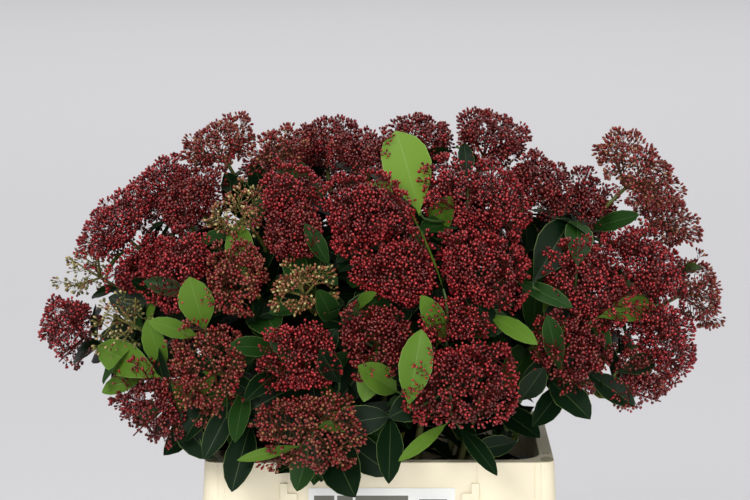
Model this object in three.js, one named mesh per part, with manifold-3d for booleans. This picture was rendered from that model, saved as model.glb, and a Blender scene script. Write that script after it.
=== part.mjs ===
// A market bucket of cut skimmia: a cream plastic container with a hanging skirt and a card in
// its holder, and twenty cut stems that stand in it and fan out to a wide dome of bud panicles
// with whorls of leathery leaves. Millimetres, +Z up, +X across the front, -Y towards the front.
// The origin is the middle of the container's flat underside.
import * as THREE from "three";
import { mergeVertices } from "three/addons/utils/BufferGeometryUtils.js";
import Module from "manifold-3d";

const wasm = await Module();
wasm.setup();

// ---- Driving sizes ---------------------------------------------------------------------------

const CONTAINER = {
  height: 340,
  halfWidth: 190, // of the rim, across the front
  halfDepth: 145, // of the rim, front to back
  corner: 16, // radius of the corner posts
  ledge: 15, // width of the flat rim all round the mouth
  mouthCorner: 32, // radius of the mouth's own corners, so that the rim is broad there
  wall: 3,
  floor: 4,
  taper: 15, // how much narrower each side is at the floor
  footBevel: 5,
  skirt: 120, // the skirt hangs this far below the rim
  flare: 6, // and stands out this much more at its lower edge
  cornerSteps: 3,
};
const CARD = { width: 159, height: 84, thickness: 0.8, offset: 2.6, below: 28 };
// The card's holder: two rails, each with a lip that reaches in front of the card's plane, a ledge
// under the card and a lip that keeps the card's lower edge in.
const HOLDER = {
  inside: 99.5,
  rail: 8.5,
  proud: 3.5,
  above: 5.5, // the rails begin this far above the card
  reach: 10.5, // of each rail's lip over the card's side
  lipBelow: 11, // the rails' lips begin this far below the rails' tops
  lip: 1.5,
  ledge: 3,
  lipHeight: 6,
  sunk: 1,
};

// The dome that the panicles lie on: half width, half depth, and height above the rim.
const DOME = new THREE.Vector3(345, 240, 325);
const CROWN = { swell: 1.12, climb: 0.7, overhang: 25 };

// Radii at both ends, and how far short of its spray's middle a stem ends. At its foot and at the
// rim a stem stands at a share of its spray's distance from the axis.
const STEM = { foot: 4.8, tip: 3.4, sides: 5, segments: 5, reachIn: 108, lean: 0.22, bow: 0.34 };
const SHOOT_AT = 3; // the segment of the stem that its side shoot leaves at the end of
const SHOOT_CLEAR = 40; // further out along a side shoot than its stem can reach
const STALK = { start: 3.1, segments: 2, reachIn: 70 };
const BEND = { stem: 0.4, shoot: 0.35, panicle: 0.6 }; // straight share of each limb's last stretch
// The hub's depth is a share of the panicle's radius. Its ring of twigs starts at a share of its
// height.
const HUB = { radius: 2.6, height: 4, depth: 0.4, ringAt: 1 / 3 };
// Along a twig its neck and its cap of buds are shares of its length; its flatness and spread are
// shares of the panicle's radius, its tilt is in degrees from straight up, and its turn is a share
// of the way round its side of the hub.
const TWIG = {
  radius: 1.3, neck: 0.45, cap: 0.84, flatness: 0.74, spread: 0.47, tilt: [70, 86], turn: [0.4, 0.6],
};
// Where a twig's room is tested: shares of the way along its shaft, and points round its cap's rim.
const TWIG_ROOM = { shaft: [0.25, 0.4, 0.55], points: 8, rim: 1.05 };
const SMALL_PANICLE = 41; // a panicle under this radius has one side and one ring twig fewer
const LEAF = { length: 100, width: 50, thickness: 1.6, widest: 0.58, fold: 0.1, size: [0.85, 1.2] };
// Where a leaf's room is tested: shares of its length, and of its half width there.
const LEAF_ROOM = {
  along: [0.1, 0.2, 0.3, 0.4, 0.5, LEAF.widest, 0.68, 0.78, 0.88, 1],
  across: [-1, -0.5, 0, 0.5, 1],
};
// Leaves one above another round a stalk, opened by a number of degrees and more when shorter. They
// stray from even turns by up to half of `stray`, in radians.
const WHORL = { count: 4, below: 6, rise: 4.5, sunk: 1.2, open: [45, 75], opening: 60, stray: 0.4 };
const REACHES = [1, 0.9, 0.8, 0.7, 0.6]; // shares of full size that a twig or leaf tries
const TURNS = [0, 0.35, -0.35]; // radians that a leaf tries to turn round its stalk
const TRIES = REACHES.flatMap((reach) => TURNS.map((turn) => ({ reach, turn })));

const SEAT_GAP = 0.3; // between pieces that touch
const SEAT_STEP = 0.01; // how closely that gap is kept at a side shoot
// Where a side shoot's gap is tested, as shares round each of its sides and up its first length.
const SEAT_SAMPLES = [0, 0.05, 0.1, 0.2].flatMap((up) => [0, 0.25, 0.5, 0.75].map((round) => [round, up]));
const SPACE_MARGIN = 1.5; // from the border of a panicle's own space
const LIMB_CLEARANCE = 1.2;
const GROWN_ROOM = 0.9; // how near a twig's cap or a leaf may come to another, as a share of touching

// One row for each stem. `tip` is the spray at the stem's end and `shoot` the one on its side
// shoot. A panicle is [across, rise above the rim, radius, tint, set back]; its depth follows the
// dome, and those along the dome's edge are set back or forward of it to make room.
// `twin` stems stand a second time, half a turn round, so that the bunch is as full behind.
const BUNCH = [
  { tip: [[-178, 322, 44, "rust", 20], [-203, 268, 44, "wine", -35]],
    shoot: [[-290, 236, 46, "crimson", -20], [-244, 272, 44, "crimson", 35]] },
  { tip: [[-346, 118, 46, "crimson", 0]],
    shoot: [[-326, 186, 42, "olive", 15], [-280, 146, 40, "olive"], [-262, 202, 42, "crimson"]] },
  { tip: [[-62, 326, 42, "wine", 20], [-14, 322, 38, "wine", 0]],
    shoot: [[-112, 322, 38, "rust", -10], [-103, 280, 40, "crimson"]] },
  { tip: [[122, 332, 46, "wine", 10]],
    shoot: [[52, 330, 42, "wine", 20]] },
  { tip: [[-16, 262, 54, "crimson"]],
    shoot: [[100, 278, 54, "crimson"]], twin: true },
  { tip: [[176, 284, 46, "wine", -10], [238, 258, 44, "wine", 10]],
    shoot: [[286, 296, 50, "rust", -10], [318, 244, 44, "rust", 30]] },
  { tip: [[290, 196, 52, "crimson", -35], [352, 164, 42, "rust", 20]],
    shoot: [[304, 122, 52, "crimson"], [285, 76, 44, "wine"]] },
  { tip: [[225, 186, 50, "crimson"], [207, 128, 42, "wine"]], twin: true },
  { tip: [[22, 214, 52, "crimson"], [-2, 150, 44, "wine"]],
    shoot: [[100, 214, 52, "crimson"], [76, 160, 42, "crimson"]], twin: true },
  { tip: [[-87, 246, 44, "wine"], [-84, 196, 42, "tan"]],
    shoot: [[-150, 266, 42, "tan"], [-150, 206, 44, "rust"], [-214, 206, 46, "crimson"]], twin: true },
  { tip: [[-186, 110, 50, "rust"], [-246, 66, 46, "wine"]], twin: true },
  { tip: [[-83, 122, 46, "crimson"]],
    shoot: [[-76, 54, 52, "rust"]], twin: true },
  { tip: [[84, 104, 54, "crimson"]], twin: true },
];

const TINTS = { crimson: 0x8c1f30, wine: 0x6d1a2a, rust: 0x8a4334, tan: 0xa8885a, olive: 0x8f8a52 };
const PLASTIC = new THREE.MeshStandardMaterial({ color: 0xece2c4, roughness: 0.5, metalness: 0 });
const PAPER = new THREE.MeshStandardMaterial({ color: 0xe8e9e6, roughness: 0.8, metalness: 0 });
const BARK = new THREE.MeshStandardMaterial({ color: 0x6f7a35, roughness: 0.7, metalness: 0 });

// ---- Small helpers ---------------------------------------------------------------------------

const { degToRad, lerp } = THREE.MathUtils;
const GOLDEN_ANGLE = Math.PI * (3 - Math.sqrt(5));
const vec = (x, y, z) => new THREE.Vector3(x, y, z);
const along = (from, direction, distance) => from.clone().addScaledVector(direction, distance);

// A seeded random source, so that every build grows the same plant.
function seeded(seed) {
  let state = (seed * 2654435761) >>> 0;
  return () => {
    state = (state + 0x6d2b79f5) >>> 0;
    let t = Math.imul(state ^ (state >>> 15), 1 | state);
    t = (t + Math.imul(t ^ (t >>> 7), 61 | t)) ^ t;
    return ((t ^ (t >>> 14)) >>> 0) / 4294967296;
  };
}

// Two unit vectors square to a direction.
function acrossOf(direction) {
  const aid = Math.abs(direction.z) < 0.9 ? vec(0, 0, 1) : vec(1, 0, 0);
  const side = vec(0, 0, 0).crossVectors(aid, direction).normalize();
  return [side, vec(0, 0, 0).crossVectors(direction, side)];
}

// Points round a centre, anticlockwise from the first direction to the second.
function ringAround(centre, side, other, radius, count, turn) {
  return Array.from({ length: count }, (_, i) => {
    const angle = turn + 2 * Math.PI * i / count;
    return along(centre, side, radius * Math.cos(angle))
      .addScaledVector(other, radius * Math.sin(angle));
  });
}

function geometryOf(points, faces) {
  const geometry = new THREE.BufferGeometry().setFromPoints(points);
  geometry.setIndex(faces.flat());
  return geometry;
}

// A closed shell through rings in order, with a flat cap on the first and on the last.
function shellThrough(rings) {
  const count = rings[0].length;
  const faces = [];
  for (let r = 0; r + 1 < rings.length; r++) {
    for (let i = 0; i < count; i++) {
      const a = r * count + i;
      const b = r * count + (i + 1) % count;
      faces.push([a, b, b + count], [a, b + count, a + count]);
    }
  }
  const last = (rings.length - 1) * count;
  for (let i = 1; i + 1 < count; i++) {
    faces.push([0, i + 1, i], [last, last + i, last + i + 1]);
  }
  return geometryOf(rings.flat(), faces);
}

function solidOf(geometry) {
  const loose = geometry.index ? geometry.toNonIndexed() : geometry;
  const bare = new THREE.BufferGeometry().setAttribute("position", loose.getAttribute("position"));
  const merged = mergeVertices(bare, 1e-4);
  return new wasm.Manifold(new wasm.Mesh({
    numProp: 3,
    vertProperties: merged.attributes.position.array,
    triVerts: new Uint32Array(merged.index.array),
  }));
}

// Joins the pieces into one body. Loose scraps go, and so do sealed hollows.
function fused(geometries) {
  const whole = geometries.map(solidOf).reduce((all, piece) => all.add(piece));
  const bodies = whole.decompose().sort((a, b) => b.volume() - a.volume());
  const mesh = bodies[0].getMesh();
  const positions = new Float32Array(mesh.numVert * 3);
  for (let i = 0; i < mesh.numVert; i++) {
    positions.set(mesh.vertProperties.subarray(i * mesh.numProp, i * mesh.numProp + 3), i * 3);
  }
  const geometry = new THREE.BufferGeometry();
  geometry.setAttribute("position", new THREE.BufferAttribute(positions, 3));
  geometry.setIndex(new THREE.BufferAttribute(mesh.triVerts, 1));
  return geometry;
}

// A mesh with flat faces, under its node's name.
function node(name, geometry, material) {
  const faceted = geometry.index ? geometry.toNonIndexed() : geometry;
  faceted.computeVertexNormals();
  const mesh = new THREE.Mesh(faceted, material);
  mesh.name = name;
  return mesh;
}

// ---- Container -------------------------------------------------------------------------------

// A rectangle with round corners at one height, anticlockwise seen from above.
function roundedRing(halfX, halfY, radius, z) {
  const points = [];
  const centres = [[1, 1], [-1, 1], [-1, -1], [1, -1]];
  centres.forEach(([sx, sy], quarter) => {
    for (let step = 0; step <= CONTAINER.cornerSteps; step++) {
      const angle = (quarter + step / CONTAINER.cornerSteps) * Math.PI / 2;
      points.push(vec(
        sx * (halfX - radius) + radius * Math.cos(angle),
        sy * (halfY - radius) + radius * Math.sin(angle),
        z,
      ));
    }
  });
  return points;
}

const SKIRT_LEAN = Math.atan(CONTAINER.flare / CONTAINER.skirt);

// A box against the skirt's front, at a height below the rim measured down its slope.
function boxOnSkirt(width, proud, height, x, below, clear) {
  const box = new THREE.BoxGeometry(width, proud, height);
  box.translate(x, -clear - proud / 2, -below - height / 2);
  box.rotateX(-SKIRT_LEAN);
  return box.translate(0, -CONTAINER.halfDepth, CONTAINER.height);
}

// The container's shell, from the underside up the outside, round the skirt, over the rim and
// down the inside to the floor.
function tubGeometry() {
  const c = CONTAINER;
  const body = c.ledge - c.wall;
  const ring = (inset, z, corner = c.corner) =>
    roundedRing(c.halfWidth - inset, c.halfDepth - inset, corner, z);
  return shellThrough([
    ring(body + c.taper + c.footBevel, 0),
    ring(body + c.taper, c.footBevel),
    ring(body, c.height - c.wall),
    ring(c.wall, c.height - c.wall),
    ring(c.wall - c.flare, c.height - c.skirt),
    ring(-c.flare, c.height - c.skirt),
    ring(0, c.height),
    ring(c.ledge, c.height, c.mouthCorner),
    ring(c.ledge, c.height - c.wall, c.mouthCorner),
    ring(c.ledge, c.height - c.wall),
    ring(c.ledge + c.taper, c.floor),
  ]);
}

function containerGeometry() {
  const { inside, rail, proud, above, reach, lipBelow, lip, ledge, lipHeight, sunk } = HOLDER;
  const top = CARD.below - above;
  const seat = CARD.below + CARD.height + SEAT_GAP;
  const bottom = seat + ledge;
  const span = 2 * (inside + sunk);
  const rails = [-1, 1].flatMap((side) => [
    boxOnSkirt(rail, proud + sunk, bottom - top, side * (inside + rail / 2), top, -sunk),
    boxOnSkirt(reach + sunk, lip, bottom - top - lipBelow, side * (inside - (reach - sunk) / 2),
      top + lipBelow, proud - lip),
  ]);
  const seatBar = boxOnSkirt(span, proud + sunk, ledge, 0, seat, -sunk);
  const lipBar = boxOnSkirt(span, lip, lipHeight, 0, bottom - lipHeight, proud - lip);
  return fused([tubGeometry(), ...rails, seatBar, lipBar]);
}

function cardGeometry() {
  return boxOnSkirt(CARD.width, CARD.thickness, CARD.height, CARD.offset, CARD.below, SEAT_GAP);
}

// ---- Limbs, leaves and bud clusters ----------------------------------------------------------

// Headings along a run of points, and two directions square to each that turn as little as they can.
function framesAlong(path) {
  const last = path.length - 1;
  let side = null;
  return path.map((point, i) => {
    const heading = path[Math.min(i + 1, last)].clone().sub(path[Math.max(i - 1, 0)]).normalize();
    side = side ? side.clone().addScaledVector(heading, -side.dot(heading)).normalize()
      : acrossOf(heading)[0];
    return { heading, side, other: vec(0, 0, 0).crossVectors(heading, side) };
  });
}

// The rings of a tapering limb along a run of points.
function limbRings(path, startRadius, endRadius, sides) {
  const frames = framesAlong(path);
  return path.map((point, i) => {
    const radius = lerp(startRadius, endRadius, i / (path.length - 1));
    return ringAround(point, frames[i].side, frames[i].other, radius, sides, 0);
  });
}

// A leaf blade of eight faces: an octahedron drawn out to base, tip, two edges and a thin middle.
// Its base is sunk in the stalk it grows from.
function leafGeometry(leaf) {
  const geometry = new THREE.OctahedronGeometry(1);
  const position = geometry.getAttribute("position");
  for (let i = 0; i < position.count; i++) {
    const [edge, face, end] = [position.getX(i), position.getY(i), position.getZ(i)];
    const reach = end > 0.5 ? leaf.length : end < -0.5 ? -WHORL.sunk : leaf.length * LEAF.widest;
    const lift = Math.abs(edge) * leaf.width * LEAF.fold + face * LEAF.thickness / 2;
    const point = along(leaf.root, leaf.direction, reach)
      .addScaledVector(leaf.across, edge * leaf.width / 2)
      .addScaledVector(leaf.normal, lift);
    position.setXYZ(i, point.x, point.y, point.z);
  }
  return geometry;
}

// The room a leaf takes: its outline's corners, and small balls all over its blade.
function leafRoom(leaf) {
  const pointAt = (share, edge) => along(leaf.root, leaf.direction, leaf.length * share)
    .addScaledVector(leaf.across, edge * leaf.width / 2)
    .addScaledVector(leaf.normal, Math.abs(edge) * leaf.width * LEAF.fold);
  const balls = [];
  for (const share of LEAF_ROOM.along) {
    const half = share < LEAF.widest ? share / LEAF.widest : (1 - share) / (1 - LEAF.widest);
    for (const edge of LEAF_ROOM.across) {
      balls.push({ point: pointAt(share, edge * half), radius: LEAF.thickness });
    }
  }
  const corners = [pointAt(1, 0), pointAt(LEAF.widest, 1), pointAt(LEAF.widest, -1)];
  return { corners, balls, leafy: true };
}

// A closed surface that is put together ring by ring.
class Surface {
  points = [];
  faces = [];

  add(ring) {
    return ring.map((point) => this.points.push(point) - 1);
  }

  band(lower, upper) {
    lower.forEach((a, i) => {
      const j = (i + 1) % lower.length;
      this.faces.push([a, lower[j], upper[j]], [a, upper[j], upper[i]]);
    });
  }

  // From a ring to one with twice as many points.
  widen(lower, upper) {
    lower.forEach((a, i) => {
      const b = lower[(i + 1) % lower.length];
      const [first, middle] = [upper[2 * i], upper[2 * i + 1]];
      const last = upper[(2 * i + 2) % upper.length];
      this.faces.push([a, middle, first], [a, b, middle], [b, last, middle]);
    });
  }

  point(ring, apex) {
    const [tip] = this.add([apex]);
    ring.forEach((a, i) => this.faces.push([a, ring[(i + 1) % ring.length], tip]));
  }

  flat(ring) {
    for (let i = 1; i + 1 < ring.length; i++) this.faces.push([ring[0], ring[i], ring[i + 1]]);
  }
}

// A twig grows out of a face of its hub and opens into a cap of buds. It keeps the directions of
// the face's corners, so that it doesn't twist.
function growTwig(surface, face, { root, tip, cap }) {
  const axis = tip.clone().sub(root).normalize();
  const arms = face.map((index) => {
    const arm = surface.points[index].clone().sub(root);
    return arm.addScaledVector(axis, -arm.dot(axis)).normalize();
  });
  const ringAt = (share, radius, directions) => surface.add(
    directions.map((arm) => along(root.clone().lerp(tip, share), arm, radius)));
  const neck = ringAt(TWIG.neck, TWIG.radius, arms);
  surface.band(face, neck);
  if (face.length > 3) {
    const rim = ringAt(TWIG.cap, cap, arms);
    surface.band(neck, rim);
    surface.point(rim, tip);
  } else {
    const between = arms.map((arm, i) => arm.clone().add(arms[(i + 1) % 3]).normalize());
    const rim = ringAt(TWIG.cap, cap, arms.flatMap((arm, i) => [arm, between[i]]));
    surface.widen(neck, rim);
    surface.point(rim, tip);
  }
}

// A panicle: its stalk, closed at the foot, with a short hub at the top. A three-sided twig
// grows out of each side of the hub, where one fits, and a stouter one out of its top.
function panicleGeometry({ stalk, hub, facing, frame, sides, twigs }) {
  const surface = new Surface();
  const rings = limbRings([...stalk, hub], STALK.start, HUB.radius, sides).slice(0, -1);
  for (const rise of [0, HUB.height]) {
    rings.push(ringAround(along(hub, facing, rise), frame.side, frame.other, HUB.radius, sides, 0));
  }
  const levels = rings.map((ring) => surface.add(ring));
  surface.flat(levels[0].toReversed());
  levels.slice(1, -1).forEach((level, i) => surface.band(levels[i], level));
  const [base, top] = levels.slice(-2);
  const grow = (face, twig) => (twig ? growTwig(surface, face, twig) : surface.flat(face));
  for (let i = 0; i < sides; i++) {
    const j = (i + 1) % sides;
    grow([base[i], base[j], top[i]], twigs[i]);
    surface.flat([base[j], top[j], top[i]]);
  }
  grow(top, twigs[sides]);
  return geometryOf(surface.points, surface.faces);
}

// The room a twig takes: its cap's corners, and its shaft and cap as balls.
function twigRoom({ root, tip, cap }) {
  const middle = root.clone().lerp(tip, TWIG.cap);
  const [side, other] = acrossOf(tip.clone().sub(root).normalize());
  const shaft = TWIG_ROOM.shaft.map((share) => ({
    point: root.clone().lerp(tip, share), radius: TWIG.radius,
  }));
  return {
    corners: [tip, ...ringAround(middle, side, other, cap * TWIG_ROOM.rim, TWIG_ROOM.points, 0)],
    balls: [...shaft, { point: middle, radius: cap }],
    leafy: false,
  };
}

// ---- The bunch: where everything stands ------------------------------------------------------

const RIM = vec(0, 0, CONTAINER.height);

// A panicle on the dome: its middle, and the way it faces, which is the way the dome curves.
function panicleAt([across, rise, radius, tint, back = 0], turned) {
  const share = (across / DOME.x) ** 2 + (rise / DOME.z) ** 2;
  const depth = back - DOME.y * Math.sqrt(Math.max(0, 1 - share));
  const sign = turned ? -1 : 1;
  const local = vec(sign * across, sign * depth, rise);
  const facing = local.clone().divide(DOME).normalize();
  return { middle: local.add(RIM), facing, radius, tint };
}

function sprayOf(rows, turned) {
  const panicles = rows.map((row) => panicleAt(row, turned));
  const middle = vec(0, 0, 0);
  panicles.forEach((p) => middle.addScaledVector(p.middle, 1 / panicles.length));
  const facing = middle.clone().sub(RIM).divide(DOME).normalize();
  return { panicles, middle, facing, fork: along(middle, facing, -STALK.reachIn) };
}

// The stem stands on the floor with the low edge of its cut end, leans out through the mouth
// and ends in line with its spray.
function stemCurve(spray) {
  const end = along(spray.middle, spray.facing, -STEM.reachIn);
  const foot = vec(spray.middle.x, spray.middle.y, 0).multiplyScalar(STEM.lean);
  const shoulder = vec(spray.middle.x, spray.middle.y, 0).multiplyScalar(STEM.bow).add(RIM);
  const lean = shoulder.clone().sub(foot).angleTo(RIM);
  foot.z = CONTAINER.floor + SEAT_GAP + STEM.foot * Math.sin(lean);
  const approach = along(end, spray.facing, -BEND.stem * end.distanceTo(shoulder));
  return new THREE.CubicBezierCurve3(foot, shoulder, approach, end);
}

// How far a point stands off the flat-sided flank of a stem.
function standOff(point, path) {
  let nearest = { distance: Infinity };
  for (let i = 0; i + 1 < path.length; i++) {
    const line = new THREE.Line3(path[i], path[i + 1]);
    const share = line.closestPointToPointParameter(point, true);
    const arm = point.clone().sub(line.at(share, vec(0, 0, 0)));
    const distance = arm.length();
    if (distance < nearest.distance) nearest = { distance, arm, i, share };
  }
  const { arm, i, share } = nearest;
  const { side, other } = framesAlong(path)[i];
  const radius = lerp(STEM.foot, STEM.tip, (i + share) / (path.length - 1));
  const toSide = Math.PI / STEM.sides;
  const sides = ringAround(vec(0, 0, 0), side, other, 1, STEM.sides, toSide);
  return Math.max(...sides.map((normal) => arm.dot(normal))) - radius * Math.cos(toSide);
}

// A side shoot leaves the stem's flank, just clear of it, and bends to its own spray's fork.
function shootPath(path, spray) {
  const from = path[SHOOT_AT];
  const bend = along(spray.fork, spray.facing, -BEND.shoot * from.distanceTo(spray.fork));
  const heading = bend.clone().sub(from).normalize();
  const pathFrom = (clear) => new THREE.QuadraticBezierCurve3(
    along(from, heading, clear), bend, spray.fork).getSpacedPoints(STALK.segments);
  const clears = (clear) => {
    const [foot, next] = limbRings(pathFrom(clear), STALK.start, STALK.start, STEM.sides);
    return foot.every((corner, i) => {
      const after = (i + 1) % foot.length;
      return SEAT_SAMPLES.every(([round, up]) => {
        const low = corner.clone().lerp(foot[after], round);
        const high = next[i].clone().lerp(next[after], round);
        return standOff(low.lerp(high, up), path) > SEAT_GAP;
      });
    });
  };
  let [inside, outside] = [0, SHOOT_CLEAR];
  while (outside - inside > SEAT_STEP) {
    const middle = (inside + outside) / 2;
    if (clears(middle)) outside = middle;
    else inside = middle;
  }
  return pathFrom(outside);
}

// The spray at the stem's tip stands on its cut end, just clear of it.
function tipStalk(path, fork) {
  const end = path.at(-1);
  const heading = end.clone().sub(path.at(-2)).normalize();
  const tilt = heading.angleTo(fork.clone().sub(end));
  return [along(end, heading, SEAT_GAP + STALK.start * Math.sin(tilt)), fork];
}

const stems = [];
const sprays = [];
for (const turned of [false, true]) {
  for (const row of BUNCH) {
    if (turned && !row.twin) continue;
    const tip = sprayOf(row.tip, turned);
    const path = stemCurve(tip).getSpacedPoints(STEM.segments);
    stems.push(path);
    sprays.push({ ...tip, stalk: tipStalk(path, tip.fork) });
    if (row.shoot) {
      const shoot = sprayOf(row.shoot, turned);
      sprays.push({ ...shoot, stalk: shootPath(path, shoot) });
    }
  }
}

// Each panicle's own stalk, to its hub low inside the dome of buds. The first goes on from the
// spray's stalk and the others leave at the fork. The upper part runs straight.
for (const { panicles, fork, stalk } of sprays) {
  panicles.forEach((panicle, index) => {
    panicle.hub = along(panicle.middle, panicle.facing, -HUB.depth * panicle.radius);
    const bend = along(panicle.hub, panicle.facing, -BEND.panicle * panicle.hub.distanceTo(fork));
    panicle.stalk = index === 0 ? [...stalk, bend] : [fork, bend];
    panicle.sides = panicle.radius < SMALL_PANICLE ? 4 : 5;
    panicle.frame = framesAlong([...panicle.stalk, panicle.hub]).at(-1);
  });
}

// Every limb as a run of short straight lengths, so that leaves and twigs can keep off it.
function lengthsOf(points, radius, owner) {
  return points.slice(1).map((end, i) => ({ line: new THREE.Line3(points[i], end), radius, owner }));
}
const limbs = [
  ...stems.flatMap((path) => lengthsOf(path, STEM.foot, null)),
  ...sprays.flatMap((spray) => spray.panicles.flatMap((panicle) =>
    lengthsOf([...panicle.stalk, panicle.hub], STALK.start, spray))),
];

const allPanicles = sprays.flatMap((spray) => spray.panicles);

// A ball keeps off every limb but those of its own spray.
const nearest = vec(0, 0, 0);
const clearOfLimbs = ({ point, radius }, owner) => limbs.every((limb) => limb.owner === owner
  || limb.line.closestPointToPoint(point, true, nearest).distanceTo(point)
    > limb.radius + radius + LIMB_CLEARANCE);

// A point is in its panicle's own space if no other panicle is nearer, by power distance.
function inOwnSpace(point, owners) {
  const powerOf = (panicle) => point.distanceTo(panicle.middle) ** 2 - panicle.radius ** 2;
  const own = owners.reduce((a, b) => (powerOf(a) < powerOf(b) ? a : b));
  return allPanicles.every((panicle) => {
    if (owners.includes(panicle)) return true;
    const apart = panicle.middle.distanceTo(own.middle);
    return (powerOf(panicle) - powerOf(own)) / (2 * apart) > SPACE_MARGIN;
  });
}

// Clear of the container: above the rim, or outside the skirt.
function clearOfContainer(point) {
  const outside = CONTAINER.flare + LEAF.thickness + SPACE_MARGIN;
  return point.z > CONTAINER.height + LEAF.thickness + SPACE_MARGIN
    || Math.abs(point.x) > CONTAINER.halfWidth + outside
    || Math.abs(point.y) > CONTAINER.halfDepth + outside;
}

// What grows later on a spray keeps off what has grown on it.
const clearOfGrown = ({ point, radius }, taken) => taken.every((ball) =>
  ball.point.distanceTo(point) > GROWN_ROOM * (ball.radius + radius));

// Leaves keep within the crown's outline: above a line that climbs outwards from the container's
// rim and under a roof a little above the panicles' own dome.
function insideCrown(point) {
  const local = point.clone().sub(RIM);
  const climb = CROWN.climb * Math.max(0, Math.abs(local.x) - CONTAINER.halfWidth);
  return local.z > climb - CROWN.overhang && local.clone().divide(DOME).length() < CROWN.swell;
}

const fits = ({ corners, balls, leafy }, spray, owners, taken) =>
  corners.every((point) => inOwnSpace(point, owners) && (!leafy || insideCrown(point)))
  && balls.every((ball) => clearOfContainer(ball.point) && clearOfLimbs(ball, spray)
    && clearOfGrown(ball, taken));

// ---- Growing one spray -----------------------------------------------------------------------

// Leaves stand in a whorl round a stalk, each turned so that its upper face looks inwards.
function whorl(top, facing, random) {
  const [side, other] = acrossOf(facing);
  const first = random() * 2 * Math.PI;
  return Array.from({ length: WHORL.count }, (_, i) => {
    const angle = first + GOLDEN_ANGLE * i + (random() - 0.5) * WHORL.stray;
    const open = lerp(...WHORL.open, random());
    const size = lerp(...LEAF.size, random());
    const root = along(top, facing, -i * WHORL.rise);
    return ({ reach, turn }) => {
      const radial = side.clone().multiplyScalar(Math.cos(angle + turn))
        .addScaledVector(other, Math.sin(angle + turn));
      const across = vec(0, 0, 0).crossVectors(facing, radial);
      const spread = degToRad(open + WHORL.opening * (1 - reach));
      const direction = facing.clone().multiplyScalar(Math.cos(spread))
        .addScaledVector(radial, Math.sin(spread));
      const normal = vec(0, 0, 0).crossVectors(direction, across);
      const [length, width] = [LEAF.length * size * reach, LEAF.width * size * reach];
      return { root, direction, across, normal, length, width };
    };
  });
}

// Primary twigs: a ring of them and one straight up, all ending on the panicle's dome.
function primaryTwigs({ middle, facing, radius, hub, frame, sides }, random) {
  const twigTo = (root, tilt, angle) => {
    const outward = facing.clone().multiplyScalar(TWIG.flatness * Math.cos(tilt))
      .addScaledVector(frame.side, Math.sin(tilt) * Math.cos(angle))
      .addScaledVector(frame.other, Math.sin(tilt) * Math.sin(angle));
    return ({ reach }) => {
      const tip = along(middle, outward, radius * reach);
      return { root, tip, cap: TWIG.spread * radius * reach };
    };
  };
  const ring = Array.from({ length: sides }, (_, i) => {
    const angle = 2 * Math.PI * (i + lerp(...TWIG.turn, random())) / sides;
    const tilt = degToRad(lerp(...TWIG.tilt, random()));
    return twigTo(along(hub, facing, HUB.height * HUB.ringAt), tilt, angle);
  });
  return [...ring, twigTo(along(hub, facing, HUB.height), 0, 0)];
}

function sprayGeometry(spray, index) {
  const random = seeded(index + 1);
  const taken = [];
  const grow = (makers, roomOf, owners) => makers.map((make) => {
    const piece = TRIES.map(make).find((sized) => fits(roomOf(sized), spray, owners, taken));
    if (piece) taken.push(...roomOf(piece).balls);
    return piece;
  });
  for (const panicle of spray.panicles) {
    panicle.twigs = grow(primaryTwigs(panicle, random), twigRoom, [panicle]);
  }
  const leaves = [...spray.panicles, spray].flatMap(({ hub, fork, facing }) => {
    const top = along(hub ?? fork, facing, -WHORL.below);
    return grow(whorl(top, facing, random), leafRoom, spray.panicles).filter(Boolean);
  });
  return fused([...spray.panicles.map(panicleGeometry), ...leaves.map(leafGeometry)]);
}

// ---- Assembly --------------------------------------------------------------------------------

const numbered = (name, index) => `${name}_${String(index + 1).padStart(2, "0")}`;

const skimmia = new THREE.Group();
skimmia.name = "skimmia_in_container";
skimmia.add(node("container", containerGeometry(), PLASTIC));
skimmia.add(node("label_card", cardGeometry(), PAPER));
stems.forEach((path, index) => {
  const limb = shellThrough(limbRings(path, STEM.foot, STEM.tip, STEM.sides));
  skimmia.add(node(numbered("stem", index), limb, BARK));
});
sprays.forEach((spray, index) => {
  const colour = TINTS[spray.panicles[0].tint];
  const material = new THREE.MeshStandardMaterial({ color: colour, roughness: 0.6, metalness: 0 });
  skimmia.add(node(numbered("spray", index), sprayGeometry(spray, index), material));
});

export default skimmia;
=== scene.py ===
"""A market container of cut skimmia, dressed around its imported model.

The container, its blank label card, the stems, twigs, leaves and buds are pieces in the model's
own frame, in metres. The plant is grown again here by the rule of the part's source, whose sizes
are in millimetres, and carried on to every pedicel and bud.
"""
import math
from functools import lru_cache
from itertools import product
from types import SimpleNamespace

import bmesh
import bpy
import numpy as np
from mathutils import Matrix, Vector
from mathutils.kdtree import KDTree


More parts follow.
